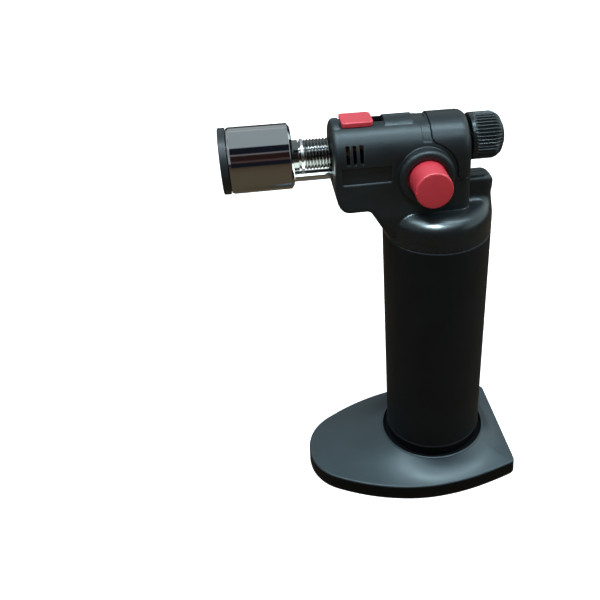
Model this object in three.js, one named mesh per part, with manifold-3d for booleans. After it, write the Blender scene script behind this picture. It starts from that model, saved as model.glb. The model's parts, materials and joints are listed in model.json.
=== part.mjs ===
// Table-top butane torch on a removable stand. Millimetres, +Z up.
// Origin: underside of the stand, on the axis of the fuel tank.
// The burner points along -X, the red ignition button faces -Y, the gas knob is at +X.

import * as THREE from "three";
import * as BufferGeometryUtils from "three/addons/utils/BufferGeometryUtils.js";
import Module from "manifold-3d";

const wasm = await Module();
wasm.setup();

// ---------------------------------------------------------------- driving dimensions

const GAP = 0.3; // clearance between pieces that touch on the real torch

const TANK_R = 22; // outer radius at the seam under the collar
const TANK_FOOT_R = 20; // turned-in foot that plugs into the stand
const TANK_BOTTOM_Z = 17.3; // lower lip of the full-width tank wall
const FOOT_Z = 8.4; // lowest point of the tank foot
const SEAM_Z = 120.8; // joint between tank and head housing
const SHOULDER_Z = 133.7; // flat top of the collar
const SHOULDER_FILLET = 6;
const HUMP_HALF_WIDTH = 5.2; // hump that carries the collar's rear wall upwards
const HUMP_TOP_Z = 143.3;

const STAND_REAR_X = 33.5;
const STAND_FRONT_X = -59.2;
const STAND_RIM_Z = 7.6; // height of the stand's edge
const SOCKET_RIM_R = 24.2;
const SOCKET_RIM_Z = 14.3;
const SOCKET_WALL_R = 23.2;
const SOCKET_LEDGE_Z = 12.4;
const SOCKET_FLOOR_Z = 8.0;
const STAND_WALL = 2.4;
const PLATE_THICKNESS = 1.9;

const HEAD_HALF_WIDTH = 12; // also the radius of the head's round top
const HEAD_AXIS_Z = 156.5; // axis of the round top, burner tube and flame guard
const HEAD_FRONT_X = -41.3;
const HEAD_REAR_X = 10.6;
const HEAD_REAR_ROUND = 4; // rounding of the head's rear edges
const HEAD_WALL = 2;
const CREST_R = 11; // raised top of the head, in front of and behind the slider's slot
const CREST_Z = 158.3;
const COVER_RISE = 0.5; // the rear cover stands this much proud of the head
const COVER_FRONT_X = -5;
const COVER_BOTTOM_Z = 147;
const COVER_CUT_R = 12.4; // the cover stops at this circle around the button

const BUTTON_X = -7.6;
const BUTTON_Z = 149.6;
const BOSS_R = 10.7;
const BOSS_BORE_R = 9;
const BOSS_MOUTH_R = 7.6; // narrower mouth that keeps the button's flange inside
const BOSS_LIP = 1.8; // thickness of the boss around its mouth
const BOSS_FACE_Y = -15.7;
const BUTTON_R = 7;
const BUTTON_FACE_Y = -26.1;
const BUTTON_FLANGE_R = 8.5;
const BUTTON_WALL = 2;

const KNOB_Z = 158.5;
const KNOB_R = 9;
const KNOB_RIBS = 40;
const KNOB_RIB_DEPTH = 0.6;
const KNOB_FRONT_X = 11.2;
const KNOB_END_X = 24.6;

const GUARD_R = 12;
const GUARD_FRONT_X = -78.1;
const GUARD_REAR_X = -56;
const RING_FRONT_X = -81;
const TUBE_R = 5.6;
const THREAD_PITCH = 1.2;
const IGNITER_Z = 148.1;
const IGNITER_R = 2;

const SLIDER_FRONT_X = -37.3;
const SLIDER_LENGTH = 11.9;
const SLOT_REAR_X = -21.5;
const SLOT_HALF_WIDTH = 2.5;
const VENT_XS = [-36.2, -33.7, -31.2];

// lever that joins the button to the tank valve: pin place in the YZ plane
const LEVER_PIN_Y = -6.5;
const LEVER_PIN_Z = 135;

// housing screws run along Y: places in the XZ plane
const HOUSING_SCREWS = [
  [-36.4, 141.4],
  [-25.4, 141.4],
  [6, 140.4],
];

// screws that hold the stand's bottom plate: places in the XY plane
const PLATE_SCREWS = [
  [-44, 0],
  [27, -17],
  [27, 17],
];

// ---------------------------------------------------------------- materials

const material = (color, roughness, metalness) =>
  new THREE.MeshStandardMaterial({ color, roughness, metalness });

const BLACK_SATIN = material(0x23282d, 0.45, 0);
const BLACK_MATTE = material(0x141516, 0.7, 0);
const BLACK_GLOSS = material(0x15181b, 0.25, 0);
const RED = material(0xc02a3e, 0.45, 0);
const CHROME = material(0xc9cccf, 0.1, 1);
const DARK_CHROME = material(0x5a5a58, 0.25, 1);
const STEEL = material(0xa8abad, 0.35, 1);
const BRASS = material(0xb08d48, 0.35, 1);
const RUBBER = material(0x1a1a1a, 0.85, 0);
const WHITE_PLASTIC = material(0xd9d7cf, 0.5, 0);
const CERAMIC = material(0xe6e1d6, 0.6, 0);

// ---------------------------------------------------------------- solids

function toManifold(geometry) {
  const bare = geometry.clone();
  bare.deleteAttribute("normal");
  bare.deleteAttribute("uv");
  const merged = BufferGeometryUtils.mergeVertices(bare, 1e-4);
  return new wasm.Manifold(
    new wasm.Mesh({
      numProp: 3,
      vertProperties: new Float32Array(merged.attributes.position.array),
      triVerts: new Uint32Array(merged.index.array),
    }),
  );
}

function toGeometry(manifold) {
  const mesh = manifold.getMesh();
  const geometry = new THREE.BufferGeometry();
  geometry.setAttribute("position", new THREE.BufferAttribute(mesh.vertProperties, 3));
  geometry.setIndex(new THREE.BufferAttribute(mesh.triVerts, 1));
  geometry.computeVertexNormals();
  return geometry;
}

const AXIS_TURN = {
  x: new THREE.Matrix4().makeRotationZ(-Math.PI / 2),
  y: new THREE.Matrix4(),
  z: new THREE.Matrix4().makeRotationX(Math.PI / 2),
};

// profile: [radius, distance along the axis] pairs, from axis to axis or closed on itself
function turnedGeometry(axis, profile, segments = 20) {
  const onAxis = profile[0][0] === 0 && profile[profile.length - 1][0] === 0;
  const points = profile.map(([r, along]) => new THREE.Vector2(r, along));
  if (!onAxis) {
    points.push(points[0].clone());
  }
  return new THREE.LatheGeometry(points, segments).applyMatrix4(AXIS_TURN[axis]);
}

function turned(axis, profile, at = [0, 0, 0], segments = 20) {
  return toManifold(turnedGeometry(axis, profile, segments)).translate(at);
}

function rod(axis, radius, from, to, at = [0, 0, 0], segments = 20) {
  const profile = [[0, from], [radius, from], [radius, to], [0, to]];
  return turned(axis, profile, at, segments);
}

function tube(axis, outer, inner, from, to, at = [0, 0, 0], segments = 20) {
  const profile = [[inner, from], [outer, from], [outer, to], [inner, to]];
  return turned(axis, profile, at, segments);
}

function block(x0, x1, y0, y1, z0, z1) {
  const geometry = new THREE.BoxGeometry(x1 - x0, y1 - y0, z1 - z0);
  geometry.translate((x0 + x1) / 2, (y0 + y1) / 2, (z0 + z1) / 2);
  return toManifold(geometry);
}

// a shape drawn in XZ and extruded along Y, between y0 and y1
function plateXZ(shape, y0, y1, curveSegments = 8) {
  const geometry = new THREE.ExtrudeGeometry(shape, {
    depth: y1 - y0,
    bevelEnabled: false,
    curveSegments,
  });
  geometry.rotateX(Math.PI / 2);
  geometry.translate(0, y1, 0);
  return toManifold(geometry);
}

// a shape drawn in XY and extruded along Z
function plateXY(shape, z0, z1) {
  const geometry = new THREE.ExtrudeGeometry(shape, {
    depth: z1 - z0,
    bevelEnabled: false,
    curveSegments: 6,
  });
  geometry.translate(0, 0, z0);
  return toManifold(geometry);
}

// a round bar that follows a smooth curve through the given points
function bentBar(points, radius, steps, sides = 8) {
  const path = new THREE.CatmullRomCurve3(points.map((p) => new THREE.Vector3(...p)));
  return sweep(path, radius, steps, sides);
}

function sweep(path, radius, steps, sides) {
  const section = new THREE.Shape();
  for (let i = 0; i < sides; i += 1) {
    const angle = (i / sides) * Math.PI * 2;
    const x = radius * Math.cos(angle);
    const y = radius * Math.sin(angle);
    if (i === 0) {
      section.moveTo(x, y);
    } else {
      section.lineTo(x, y);
    }
  }
  section.closePath();
  return toManifold(
    new THREE.ExtrudeGeometry(section, { steps, extrudePath: path, bevelEnabled: false }),
  );
}

class Helix extends THREE.Curve {
  constructor(axis, radius, from, to, turns) {
    super();
    Object.assign(this, { axis, radius, from, to, turns });
  }

  getPoint(t, target = new THREE.Vector3()) {
    const angle = t * this.turns * Math.PI * 2;
    const along = this.from + (this.to - this.from) * t;
    const c = this.radius * Math.cos(angle);
    const s = this.radius * Math.sin(angle);
    return this.axis === "z" ? target.set(c, s, along) : target.set(c, along, s);
  }
}

function spring(axis, radius, wire, from, to, turns) {
  return sweep(new Helix(axis, radius, from, to, turns), wire, turns * 8, 5);
}

// ---------------------------------------------------------------- stand

// the stand's outline: blunt round nose, swelling sides, straight rear edge
function standOutline() {
  const shape = new THREE.Shape();
  const cornerY = 26.8;
  const cornerR = 2.6;
  shape.moveTo(STAND_FRONT_X, 0);
  shape.bezierCurveTo(STAND_FRONT_X, 9.4, -54.6, 16.4, -47.6, 20.4);
  shape.bezierCurveTo(-36, 27.6, -20, 33.8, -4, 33.8);
  shape.bezierCurveTo(9, 33.8, 20, 31, STAND_REAR_X - cornerR, cornerY + 0.9);
  shape.quadraticCurveTo(STAND_REAR_X, cornerY, STAND_REAR_X, cornerY - cornerR);
  shape.lineTo(STAND_REAR_X, 0);
  const half = shape.getSpacedPoints(30);
  const mirrored = half.slice(1, -1).reverse().map((p) => new THREE.Vector2(p.x, -p.y));
  return [...half, ...mirrored].reverse();
}

const OUTLINE = standOutline();

function insetOutline(distance) {
  return OUTLINE.map((point, i) => {
    const before = OUTLINE[(i + OUTLINE.length - 1) % OUTLINE.length];
    const after = OUTLINE[(i + 1) % OUTLINE.length];
    const along = after.clone().sub(before).normalize();
    return new THREE.Vector2(point.x - along.y * distance, point.y + along.x * distance);
  });
}

// a ring between the edge of the stand (share 0) and a circle around the tank (share 1)
function standRing(inset, share, circleR, z) {
  return insetOutline(inset).map((point) => {
    const circle = point.clone().normalize().multiplyScalar(circleR);
    const place = point.clone().lerp(circle, share);
    return new THREE.Vector3(place.x, place.y, z);
  });
}

const domeZ = (share, low, high) => low + (high - low) * (0.5 * share + 0.5 * share ** 2.6);

// stacks rings of equal point count into one closed skin, capped at its two centre points
function loft(rings, firstCentre, lastCentre) {
  const count = rings[0].length;
  const positions = [];
  for (const ring of rings) {
    for (const point of ring) {
      positions.push(point.x, point.y, point.z);
    }
  }
  positions.push(...firstCentre, ...lastCentre);
  const first = rings.length * count;
  const last = first + 1;
  const indices = [];
  for (let i = 0; i < count; i += 1) {
    const next = (i + 1) % count;
    indices.push(first, i, next);
    for (let ring = 0; ring + 1 < rings.length; ring += 1) {
      const a = ring * count;
      const b = a + count;
      indices.push(a + i, b + next, a + next, a + i, b + i, b + next);
    }
    const end = (rings.length - 1) * count;
    indices.push(last, end + next, end + i);
  }
  const geometry = new THREE.BufferGeometry();
  geometry.setAttribute("position", new THREE.Float32BufferAttribute(positions, 3));
  geometry.setIndex(indices);
  return toManifold(geometry);
}

function circleRing(radius, z) {
  return standRing(0, 1, radius, z);
}

function makeStandShell() {
  const shares = [0, 0.25, 0.5, 0.75];
  const underTop = STAND_RIM_Z - STAND_WALL;
  const cupR = SOCKET_RIM_R + 1.6;
  const cupTop = SOCKET_RIM_Z - STAND_WALL - 0.6;
  const floorUnder = SOCKET_FLOOR_Z - 2.2;
  const rings = [
    circleRing(TANK_FOOT_R + GAP, SOCKET_FLOOR_Z),
    circleRing(TANK_FOOT_R + GAP, SOCKET_LEDGE_Z),
    circleRing(SOCKET_WALL_R, SOCKET_LEDGE_Z),
    circleRing(SOCKET_WALL_R, SOCKET_RIM_Z - 0.4),
    circleRing(SOCKET_WALL_R + 0.4, SOCKET_RIM_Z),
    circleRing(SOCKET_RIM_R, SOCKET_RIM_Z),
  ];
  for (const share of [...shares].reverse()) {
    rings.push(standRing(0.9, share, SOCKET_RIM_R, domeZ(share, STAND_RIM_Z, SOCKET_RIM_Z)));
  }
  rings.push(standRing(0.3, 0, 1, STAND_RIM_Z - 0.4));
  rings.push(standRing(0.15, 0, 1, STAND_RIM_Z - 1.2));
  rings.push(standRing(0, 0, 1, 0));
  rings.push(standRing(STAND_WALL, 0, 1, 0));
  for (const share of shares) {
    rings.push(standRing(STAND_WALL, share, cupR, domeZ(share, underTop, cupTop)));
  }
  rings.push(circleRing(cupR, cupTop));
  rings.push(circleRing(cupR, floorUnder));
  let shell = loft(rings, [0, 0, SOCKET_FLOOR_Z], [0, 0, floorUnder]);
  for (const [x, y] of PLATE_SCREWS) {
    shell = shell.add(rod("z", 3.2, PLATE_THICKNESS + GAP, 8.4, [x, y, 0], 24));
    shell = shell.subtract(rod("z", 1.6, PLATE_THICKNESS, 6.4, [x, y, 0], 24));
  }
  return shell;
}

function makeBottomPlate() {
  let plate = plateXY(new THREE.Shape(insetOutline(STAND_WALL + GAP)), 0, PLATE_THICKNESS);
  for (const [x, y] of PLATE_SCREWS) {
    plate = plate.subtract(rod("z", 1.6, -1, PLATE_THICKNESS + 1, [x, y, 0], 24));
    plate = plate.subtract(rod("z", 3.2, -1, 1.1, [x, y, 0], 24));
  }
  return plate;
}

// a screw along +Z with its head at the bottom and a cross recess
function makePlateScrew() {
  const profile = [[0, 0.1], [2.6, 0.1], [2.6, 0.8], [1.25, 0.8], [1.25, 5.6], [0, 6]];
  const cross = block(-1.4, 1.4, -0.3, 0.3, -1, 0.5).add(block(-0.3, 0.3, -1.4, 1.4, -1, 0.5));
  return turned("z", profile, [0, 0, 0], 16).subtract(cross);
}

// ---------------------------------------------------------------- tank

function makeTankShell() {
  const top = SEAM_Z - GAP;
  return turned("z", [
    [18.2, FOOT_Z],
    [TANK_FOOT_R, FOOT_Z],
    [TANK_FOOT_R, TANK_BOTTOM_Z],
    [TANK_R - 1.1, TANK_BOTTOM_Z],
    [TANK_R - 0.7, TANK_BOTTOM_Z + 0.5],
    [TANK_R, top - 0.4],
    [TANK_R - 0.3, top],
    [20.2, top],
    [19.7, 20],
    [17.5, 15.4],
    [4.6, 15.4],
    [4.6, 12.2],
    [18.2, 12.2],
  ], [0, 0, 0], 48);
}

function makeTankLid() {
  return turned("z", [
    [4.6, 115.6],
    [19.6, 115.6],
    [19.6, 117],
    [18.2, 117],
    [18.2, 118.6],
    [19.6, 118.6],
    [19.6, 120],
    [8, 120],
    [8, 125.1],
    [14, 125.1],
    [14, 127.1],
    [8, 127.1],
    [8, 129.6],
    [4.6, 129.6],
  ], [0, 0, 0], 28);
}

function makeSealRing(axis, centreR, wireR, along, at = [0, 0, 0]) {
  const profile = [];
  for (let i = 0; i < 6; i += 1) {
    const angle = (i / 6) * Math.PI * 2;
    profile.push([centreR + wireR * Math.cos(angle), along + wireR * Math.sin(angle)]);
  }
  return turned(axis, profile, at, 24);
}

// brass valve in the lid: its stem is pressed down to let fuel through
function makeTankValveBody() {
  return turned("z", [
    [2, 112],
    [4.2, 112],
    [4.2, 129.9],
    [8.6, 129.9],
    [8.6, 131.2],
    [1.6, 131.2],
    [1.6, 126.4],
    [2.4, 126.4],
    [2.4, 120],
    [2, 120],
  ]);
}

const REFILL_BODY_PROFILE = [
  [1.7, 9.4],
  [2.6, 9.4],
  [2.6, 11],
  [6.5, 11],
  [6.5, 11.9],
  [4.3, 11.9],
  [4.3, 24],
  [1.2, 24],
  [1.2, 22.4],
  [2.8, 22.4],
  [2.8, 14],
  [1.7, 14],
];

const REFILL_STEM_PROFILE = [
  [0, 9.6], [1.3, 9.6], [1.3, 14.3], [2.4, 14.3], [2.4, 15.3], [1.1, 15.3], [1.1, 18], [0, 18],
];

function makeRefillNut() {
  const nut = rod("z", 7, 15.7, 18.4, [0, 0, 0], 6);
  return nut.subtract(rod("z", 4.6, 10, 30, [0, 0, 0], 24));
}

const TANK_STEM_PROFILE = [
  [0, 125.4], [1.9, 125.4], [1.9, 126.1], [1.2, 126.1], [1.2, 133.6], [0, 133.6],
];

// ---------------------------------------------------------------- housing

// side view: from the rear face, over the rounded top edge
function roundRearTop(shape, halfWidth) {
  const top = HEAD_AXIS_Z + halfWidth;
  const start = HEAD_REAR_X - HEAD_REAR_ROUND;
  shape.lineTo(HEAD_REAR_X, top - HEAD_REAR_ROUND);
  shape.absarc(start, top - HEAD_REAR_ROUND, HEAD_REAR_ROUND, 0, Math.PI / 2);
  shape.lineTo(start, top + 2);
}

// plan view of the head, with its two rear corners rounded
function headPlan(halfWidth) {
  const shape = new THREE.Shape();
  const start = HEAD_REAR_X - HEAD_REAR_ROUND;
  const side = halfWidth - HEAD_REAR_ROUND;
  shape.moveTo(HEAD_FRONT_X - 2, -halfWidth);
  shape.lineTo(start, -halfWidth);
  shape.absarc(start, -side, HEAD_REAR_ROUND, -Math.PI / 2, 0);
  shape.absarc(start, side, HEAD_REAR_ROUND, 0, Math.PI / 2);
  shape.lineTo(HEAD_FRONT_X - 2, halfWidth);
  shape.closePath();
  return plateXY(shape, 100, 190);
}

// the head and neck seen from the side
function headSideShape() {
  const shape = new THREE.Shape();
  shape.moveTo(HEAD_FRONT_X, HEAD_AXIS_Z + HEAD_HALF_WIDTH + 2);
  shape.lineTo(HEAD_FRONT_X, 146);
  shape.quadraticCurveTo(HEAD_FRONT_X, 135.9, -36, 135.9);
  shape.lineTo(-30, 135.9);
  shape.quadraticCurveTo(-28.6, 135.9, -27.8, 134.4);
  shape.lineTo(-21.4, 123.4);
  shape.lineTo(HEAD_REAR_X, 123.4);
  roundRearTop(shape, HEAD_HALF_WIDTH);
  shape.closePath();
  return shape;
}

// the head seen from the front: straight sides and a half-round top
function arch(halfWidth, z0) {
  const shape = new THREE.Shape();
  shape.moveTo(-halfWidth, z0);
  shape.lineTo(halfWidth, z0);
  shape.lineTo(halfWidth, HEAD_AXIS_Z);
  shape.absarc(0, HEAD_AXIS_Z, halfWidth, 0, Math.PI);
  shape.closePath();
  return shape;
}

// extrudes a front view (Y across, Z up) along X
function plateYZ(shape, x0, x1) {
  const geometry = new THREE.ExtrudeGeometry(shape, {
    depth: x1 - x0,
    bevelEnabled: false,
    curveSegments: 10,
  });
  geometry.rotateY(Math.PI / 2);
  geometry.rotateX(Math.PI / 2);
  geometry.translate(x0, 0, 0);
  return toManifold(geometry);
}

function makeCollar() {
  const fillet = [];
  for (let i = 0; i <= 5; i += 1) {
    const angle = (i / 5) * (Math.PI / 2);
    fillet.push([
      TANK_R - SHOULDER_FILLET * (1 - Math.cos(angle)),
      SHOULDER_Z - SHOULDER_FILLET * (1 - Math.sin(angle)),
    ]);
  }
  return turned("z", [
    [0, SEAM_Z], [TANK_R - 0.3, SEAM_Z], [TANK_R, SEAM_Z + 0.4], ...fillet, [0, SHOULDER_Z],
  ], [0, 0, 0], 48);
}

// block behind the neck that carries the collar's rear wall upwards
function makeHump() {
  const side = new THREE.Shape();
  const cornerR = 3.6;
  const bottom = SHOULDER_Z - SHOULDER_FILLET;
  side.moveTo(HEAD_REAR_X - 3, bottom);
  side.lineTo(TANK_R, bottom);
  side.absarc(TANK_R - cornerR, HUMP_TOP_Z - cornerR, cornerR, 0, Math.PI / 2);
  side.lineTo(HEAD_REAR_X - 3, HUMP_TOP_Z);
  side.closePath();
  return plateXZ(side, -HUMP_HALF_WIDTH, HUMP_HALF_WIDTH)
    .intersect(rod("z", TANK_R, 120, 150, [0, 0, 0], 48));
}

// outer skin of the part of the head under the rear cover, lowered to let the cover sit flush
function coverRecess(clearance) {
  const x0 = COVER_FRONT_X - clearance;
  const band = plateYZ(arch(HEAD_HALF_WIDTH + 3, COVER_BOTTOM_Z - clearance), x0, 16);
  const core = plateYZ(arch(HEAD_HALF_WIDTH - 1.4 + clearance - GAP, 120), x0 - 1, 17);
  const aroundButton = rod("y", COVER_CUT_R - clearance, -20, 20, [BUTTON_X, 0, BUTTON_Z], 40);
  return band.subtract(core).subtract(aroundButton);
}

function makeHousing() {
  const buttonAt = [BUTTON_X, 0, BUTTON_Z];
  const crestAt = [0, 0, CREST_Z];
  const headSolid = plateXZ(headSideShape(), -20, 20)
    .intersect(plateYZ(arch(HEAD_HALF_WIDTH, 110), HEAD_FRONT_X - 2, HEAD_REAR_X + 2))
    .intersect(headPlan(HEAD_HALF_WIDTH));
  let solid = headSolid
    .subtract(coverRecess(GAP))
    .add(makeCollar())
    .add(makeHump())
    .add(rod("x", CREST_R, HEAD_FRONT_X, SLIDER_FRONT_X - 0.5, crestAt, 48))
    .add(rod("x", CREST_R, SLOT_REAR_X, -10.7, crestAt, 48))
    .add(rod("y", BOSS_R, BOSS_FACE_Y, -HEAD_HALF_WIDTH + 2, buttonAt, 36));

  const inner = HEAD_HALF_WIDTH - HEAD_WALL;
  const headRoom = plateYZ(arch(inner, 138), HEAD_FRONT_X + HEAD_WALL, -5.4);
  const rearRoom = plateYZ(arch(inner - 1.2, 138), -5.5, HEAD_REAR_X - 2.2);
  const neckRoom = block(-19.5, HEAD_REAR_X - 2.2, -8.8, 8.8, 130, 150);
  solid = solid
    .subtract(headRoom)
    .subtract(rearRoom)
    .subtract(neckRoom)
    .subtract(rod("z", 16, 124.8, 131.5))
    .subtract(rod("z", 8.4, 120, 125))
    .subtract(rod("y", BOSS_BORE_R, BOSS_FACE_Y + BOSS_LIP, -7.5, buttonAt, 36))
    .subtract(rod("y", BOSS_MOUTH_R, -30, -13, buttonAt, 36))
    .subtract(rod("x", TUBE_R - 0.5 + GAP, -50, -30, [0, 0, HEAD_AXIS_Z]))
    .subtract(rod("x", IGNITER_R + GAP, -50, -35, [0, 0, IGNITER_Z], 16))
    .subtract(rod("x", 3.4, 5, 20, [0, 0, KNOB_Z], 24))
    .subtract(block(-36.6, SLOT_REAR_X, -SLOT_HALF_WIDTH, SLOT_HALF_WIDTH, 160, 175))
    .subtract(block(-10.7, -6, -6.5, 6.5, HEAD_AXIS_Z + HEAD_HALF_WIDTH - 0.7, 175));
  for (const x of VENT_XS) {
    solid = solid.subtract(block(x - 0.65, x + 0.65, -14, 14, 155.8, 162.6));
  }
  const panel = block(-38.6, -21, -20, 20, 147.8, 154.5);
  const panelSkin = panel.subtract(block(-45, -15, -11.4, 11.4, 140, 160));
  return solid.subtract(panelSkin);
}

function makeHousingHalf(side) {
  let half = HOUSING.intersect(
    side < 0 ? block(-60, 40, -40, -GAP / 2, 100, 200) : block(-60, 40, GAP / 2, 40, 100, 200),
  );
  for (const [x, z] of HOUSING_SCREWS) {
    const at = [x, 0, z];
    if (side > 0) {
      half = half
        .add(rod("y", 2.6, GAP / 2, 11, at, 20))
        .subtract(rod("y", 1.4, -1, 20, at, 20))
        .subtract(rod("y", 2.5, 9.2, 20, at, 20));
    } else {
      half = half
        .add(rod("y", 2.6, -11, -GAP / 2, at, 20))
        .subtract(rod("y", 1.4, -9, 1, at, 20));
    }
  }
  return side < 0 ? half.add(makeLeverLugs()) : half;
}

// two lugs inside the right half that carry the lever's pin
function makeLeverLugs() {
  const pinAt = [0, LEVER_PIN_Y, LEVER_PIN_Z];
  return block(-11.2, -8.5, -9.5, -4.4, 131.2, 137.2)
    .add(block(2.5, 5.2, -9.5, -4.4, 131.2, 137.2))
    .subtract(rod("x", 1.3, -20, 10, pinAt, 20));
}

const HOUSING = makeHousing();

// saddle-shaped cover over the gas valve, between the head and the knob
function makeRearCover() {
  const side = new THREE.Shape();
  side.moveTo(COVER_FRONT_X, COVER_BOTTOM_Z);
  side.lineTo(HEAD_REAR_X, COVER_BOTTOM_Z);
  roundRearTop(side, HEAD_HALF_WIDTH + COVER_RISE);
  side.lineTo(COVER_FRONT_X, HEAD_AXIS_Z + HEAD_HALF_WIDTH + COVER_RISE + 2);
  side.closePath();
  return plateXZ(side, -20, 20)
    .intersect(plateYZ(arch(HEAD_HALF_WIDTH + COVER_RISE, 120), -10, 14))
    .intersect(headPlan(HEAD_HALF_WIDTH + COVER_RISE))
    .subtract(plateYZ(arch(HEAD_HALF_WIDTH - 1.4 + GAP, 110), -12, 16))
    .subtract(rod("y", COVER_CUT_R, -20, 20, [BUTTON_X, 0, BUTTON_Z], 40));
}

// a screw along Y with its head towards +Y and a cross recess
function makeHousingScrew() {
  const profile = [[0, -8.6], [1.1, -8.2], [1.1, 9.5], [2.2, 9.5], [2.2, 10.6], [1.5, 11], [0, 11]];
  const cross = block(-1.3, 1.3, 10.3, 12, -0.3, 0.3).add(block(-0.3, 0.3, 10.3, 12, -1.3, 1.3));
  return turned("y", profile, [0, 0, 0], 16).subtract(cross);
}

// ---------------------------------------------------------------- ignition

// hollow cap with a finger underneath that pushes the valve lever
function makeButton() {
  const cap = turned("y", [
    [0, BUTTON_FACE_Y],
    [BUTTON_R - 0.7, BUTTON_FACE_Y],
    [BUTTON_R - 0.2, BUTTON_FACE_Y + 0.25],
    [BUTTON_R, BUTTON_FACE_Y + 0.8],
    [BUTTON_R, -13.4],
    [BUTTON_FLANGE_R, -13.4],
    [BUTTON_FLANGE_R, -11.4],
    [5.5, -11.4],
    [5.5, BUTTON_FACE_Y + BUTTON_WALL],
    [0, BUTTON_FACE_Y + BUTTON_WALL],
  ], [0, 0, 0], 36);
  const finger = block(-1.4, 3.4, -12.6, -7.9, -7.2, -5.7);
  return cap.add(finger);
}

const PIEZO_PROFILE = [
  [0, -1], [3, -1], [3, -6], [3.9, -6], [3.9, 7.4], [2.4, 7.4], [2.4, 8.7], [0, 8.7],
];

const PLUNGER_PROFILE = [
  [0, -23.8], [3.4, -23.8], [3.4, -22.6], [2.6, -22.6], [2.6, -5.4], [0, -5.4],
];

// steel lever: upright arm behind the button's finger, short arm over the tank valve's stem
function makeLever() {
  const upright = block(-8, -4, -0.8, 0.8, 0, 9.2);
  const hub = rod("x", 2.1, -8, 2, [0, 0, 0], 24);
  const bridge = block(-1.9, 1.9, 0, 7.1, -1, 0.6);
  return hub.add(upright).add(bridge).subtract(rod("x", 1.3, -10, 4, [0, 0, 0], 24));
}

// ---------------------------------------------------------------- gas knob and valve

function makeKnob() {
  const ribs = new THREE.Shape();
  for (let i = 0; i < KNOB_RIBS * 2; i += 1) {
    const radius = i % 2 === 0 ? KNOB_R : KNOB_R - KNOB_RIB_DEPTH;
    const angle = (i / (KNOB_RIBS * 2)) * Math.PI * 2;
    const place = [radius * Math.cos(angle), radius * Math.sin(angle)];
    if (i === 0) {
      ribs.moveTo(...place);
    } else {
      ribs.lineTo(...place);
    }
  }
  ribs.closePath();
  const ribbed = plateYZ(ribs, KNOB_FRONT_X + 1.2, KNOB_END_X);
  const envelope = turned("x", [
    [0, KNOB_FRONT_X],
    [KNOB_R + 0.5, KNOB_FRONT_X],
    [KNOB_R + 0.5, KNOB_END_X - 5.2],
    [KNOB_R - 0.6, KNOB_END_X - 3],
    [KNOB_R - 2.2, KNOB_END_X - 1.2],
    [KNOB_R - 4.4, KNOB_END_X],
    [0, KNOB_END_X],
  ], [0, 0, 0], 40);
  return ribbed
    .intersect(envelope)
    .add(rod("x", KNOB_R - 0.3, KNOB_FRONT_X, KNOB_FRONT_X + 1.4, [0, 0, 0], 40))
    .subtract(rod("x", 2.1, KNOB_FRONT_X - 1, 21, [0, 0, 0], 24));
}

function makeGasValveBody() {
  return turned("x", [
    [1.5, -3],
    [5, -3],
    [5, 6.6],
    [3, 6.6],
    [3, 10.8],
    [2.1, 10.8],
    [2.1, 5.6],
    [3.4, 5.6],
    [3.4, 3],
    [2.1, 3],
    [2.1, 1],
    [1.5, 1],
  ]);
}

const SPINDLE_PROFILE = [
  [0, -1.6], [0.5, -1.6], [1.1, 1.4], [1.8, 1.4], [1.8, 20.6], [0, 20.6],
];

// ---------------------------------------------------------------- burner

function makeBurnerTube() {
  const threadFrom = -51;
  const threadTo = HEAD_FRONT_X - 0.6;
  const profile = [[3.6, -66], [4.6, -66], [4.6, -52.8], [TUBE_R - 0.5, -52.8]];
  for (let x = threadFrom; x < threadTo; x += THREAD_PITCH) {
    profile.push([TUBE_R - 0.5, x], [TUBE_R, x + THREAD_PITCH / 2]);
  }
  profile.push([TUBE_R - 0.5, threadTo], [TUBE_R - 0.5, -36.4], [3.6, -36.4]);
  return turned("x", profile, [0, 0, 0], 24);
}

function makeFlameGuard() {
  return turned("x", [
    [GUARD_R - 0.8, GUARD_FRONT_X],
    [GUARD_R - 0.3, GUARD_FRONT_X],
    [GUARD_R, GUARD_FRONT_X + 0.4],
    [GUARD_R, GUARD_REAR_X - 0.2],
    [GUARD_R - 0.2, GUARD_REAR_X],
    [4.6 + GAP, GUARD_REAR_X],
    [4.6 + GAP, GUARD_REAR_X - 1.2],
    [GUARD_R - 0.8, GUARD_REAR_X - 1.2],
  ], [0, 0, 0], 44).subtract(
    rod("x", IGNITER_R + GAP, -60, -50, [0, 0, IGNITER_Z - HEAD_AXIS_Z], 24),
  );
}

function makeBurnerHead() {
  return turned("x", [
    [4.9, -72],
    [6.3, -72],
    [6.6, -71.6],
    [6.6, -64],
    [5.3, -62.6],
    [4.9, -62.6],
  ], [0, 0, 0], 28);
}

function makeFlameHolder() {
  let disc = rod("x", 4.5, -71.4, -67.2);
  const holeR = 0.55;
  for (const [ring, count] of [[0, 1], [1.6, 5], [3.2, 9]]) {
    for (let i = 0; i < count; i += 1) {
      const angle = (i / count) * Math.PI * 2;
      const at = [0, ring * Math.cos(angle), ring * Math.sin(angle)];
      disc = disc.subtract(rod("x", holeR, -80, -60, at, 5));
    }
  }
  return disc;
}

// brass jet: its spigot sits in the rear end of the burner tube
const JET_PROFILE = [
  [0.6, -40], [3.3, -40], [3.3, -36.1], [5.2, -36.1], [5.2, -33.4], [0.6, -33.4],
];

const FRONT_RING_PROFILE = [
  [GUARD_R - 1.8, RING_FRONT_X],
  [GUARD_R - 0.3, RING_FRONT_X],
  [GUARD_R, RING_FRONT_X + 0.3],
  [GUARD_R, GUARD_FRONT_X - GAP],
  [GUARD_R - 1.1, GUARD_FRONT_X - GAP],
  [GUARD_R - 1.1, GUARD_FRONT_X + 3],
  [GUARD_R - 1.8, GUARD_FRONT_X + 3],
];

// ---------------------------------------------------------------- pipes and wire

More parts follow.
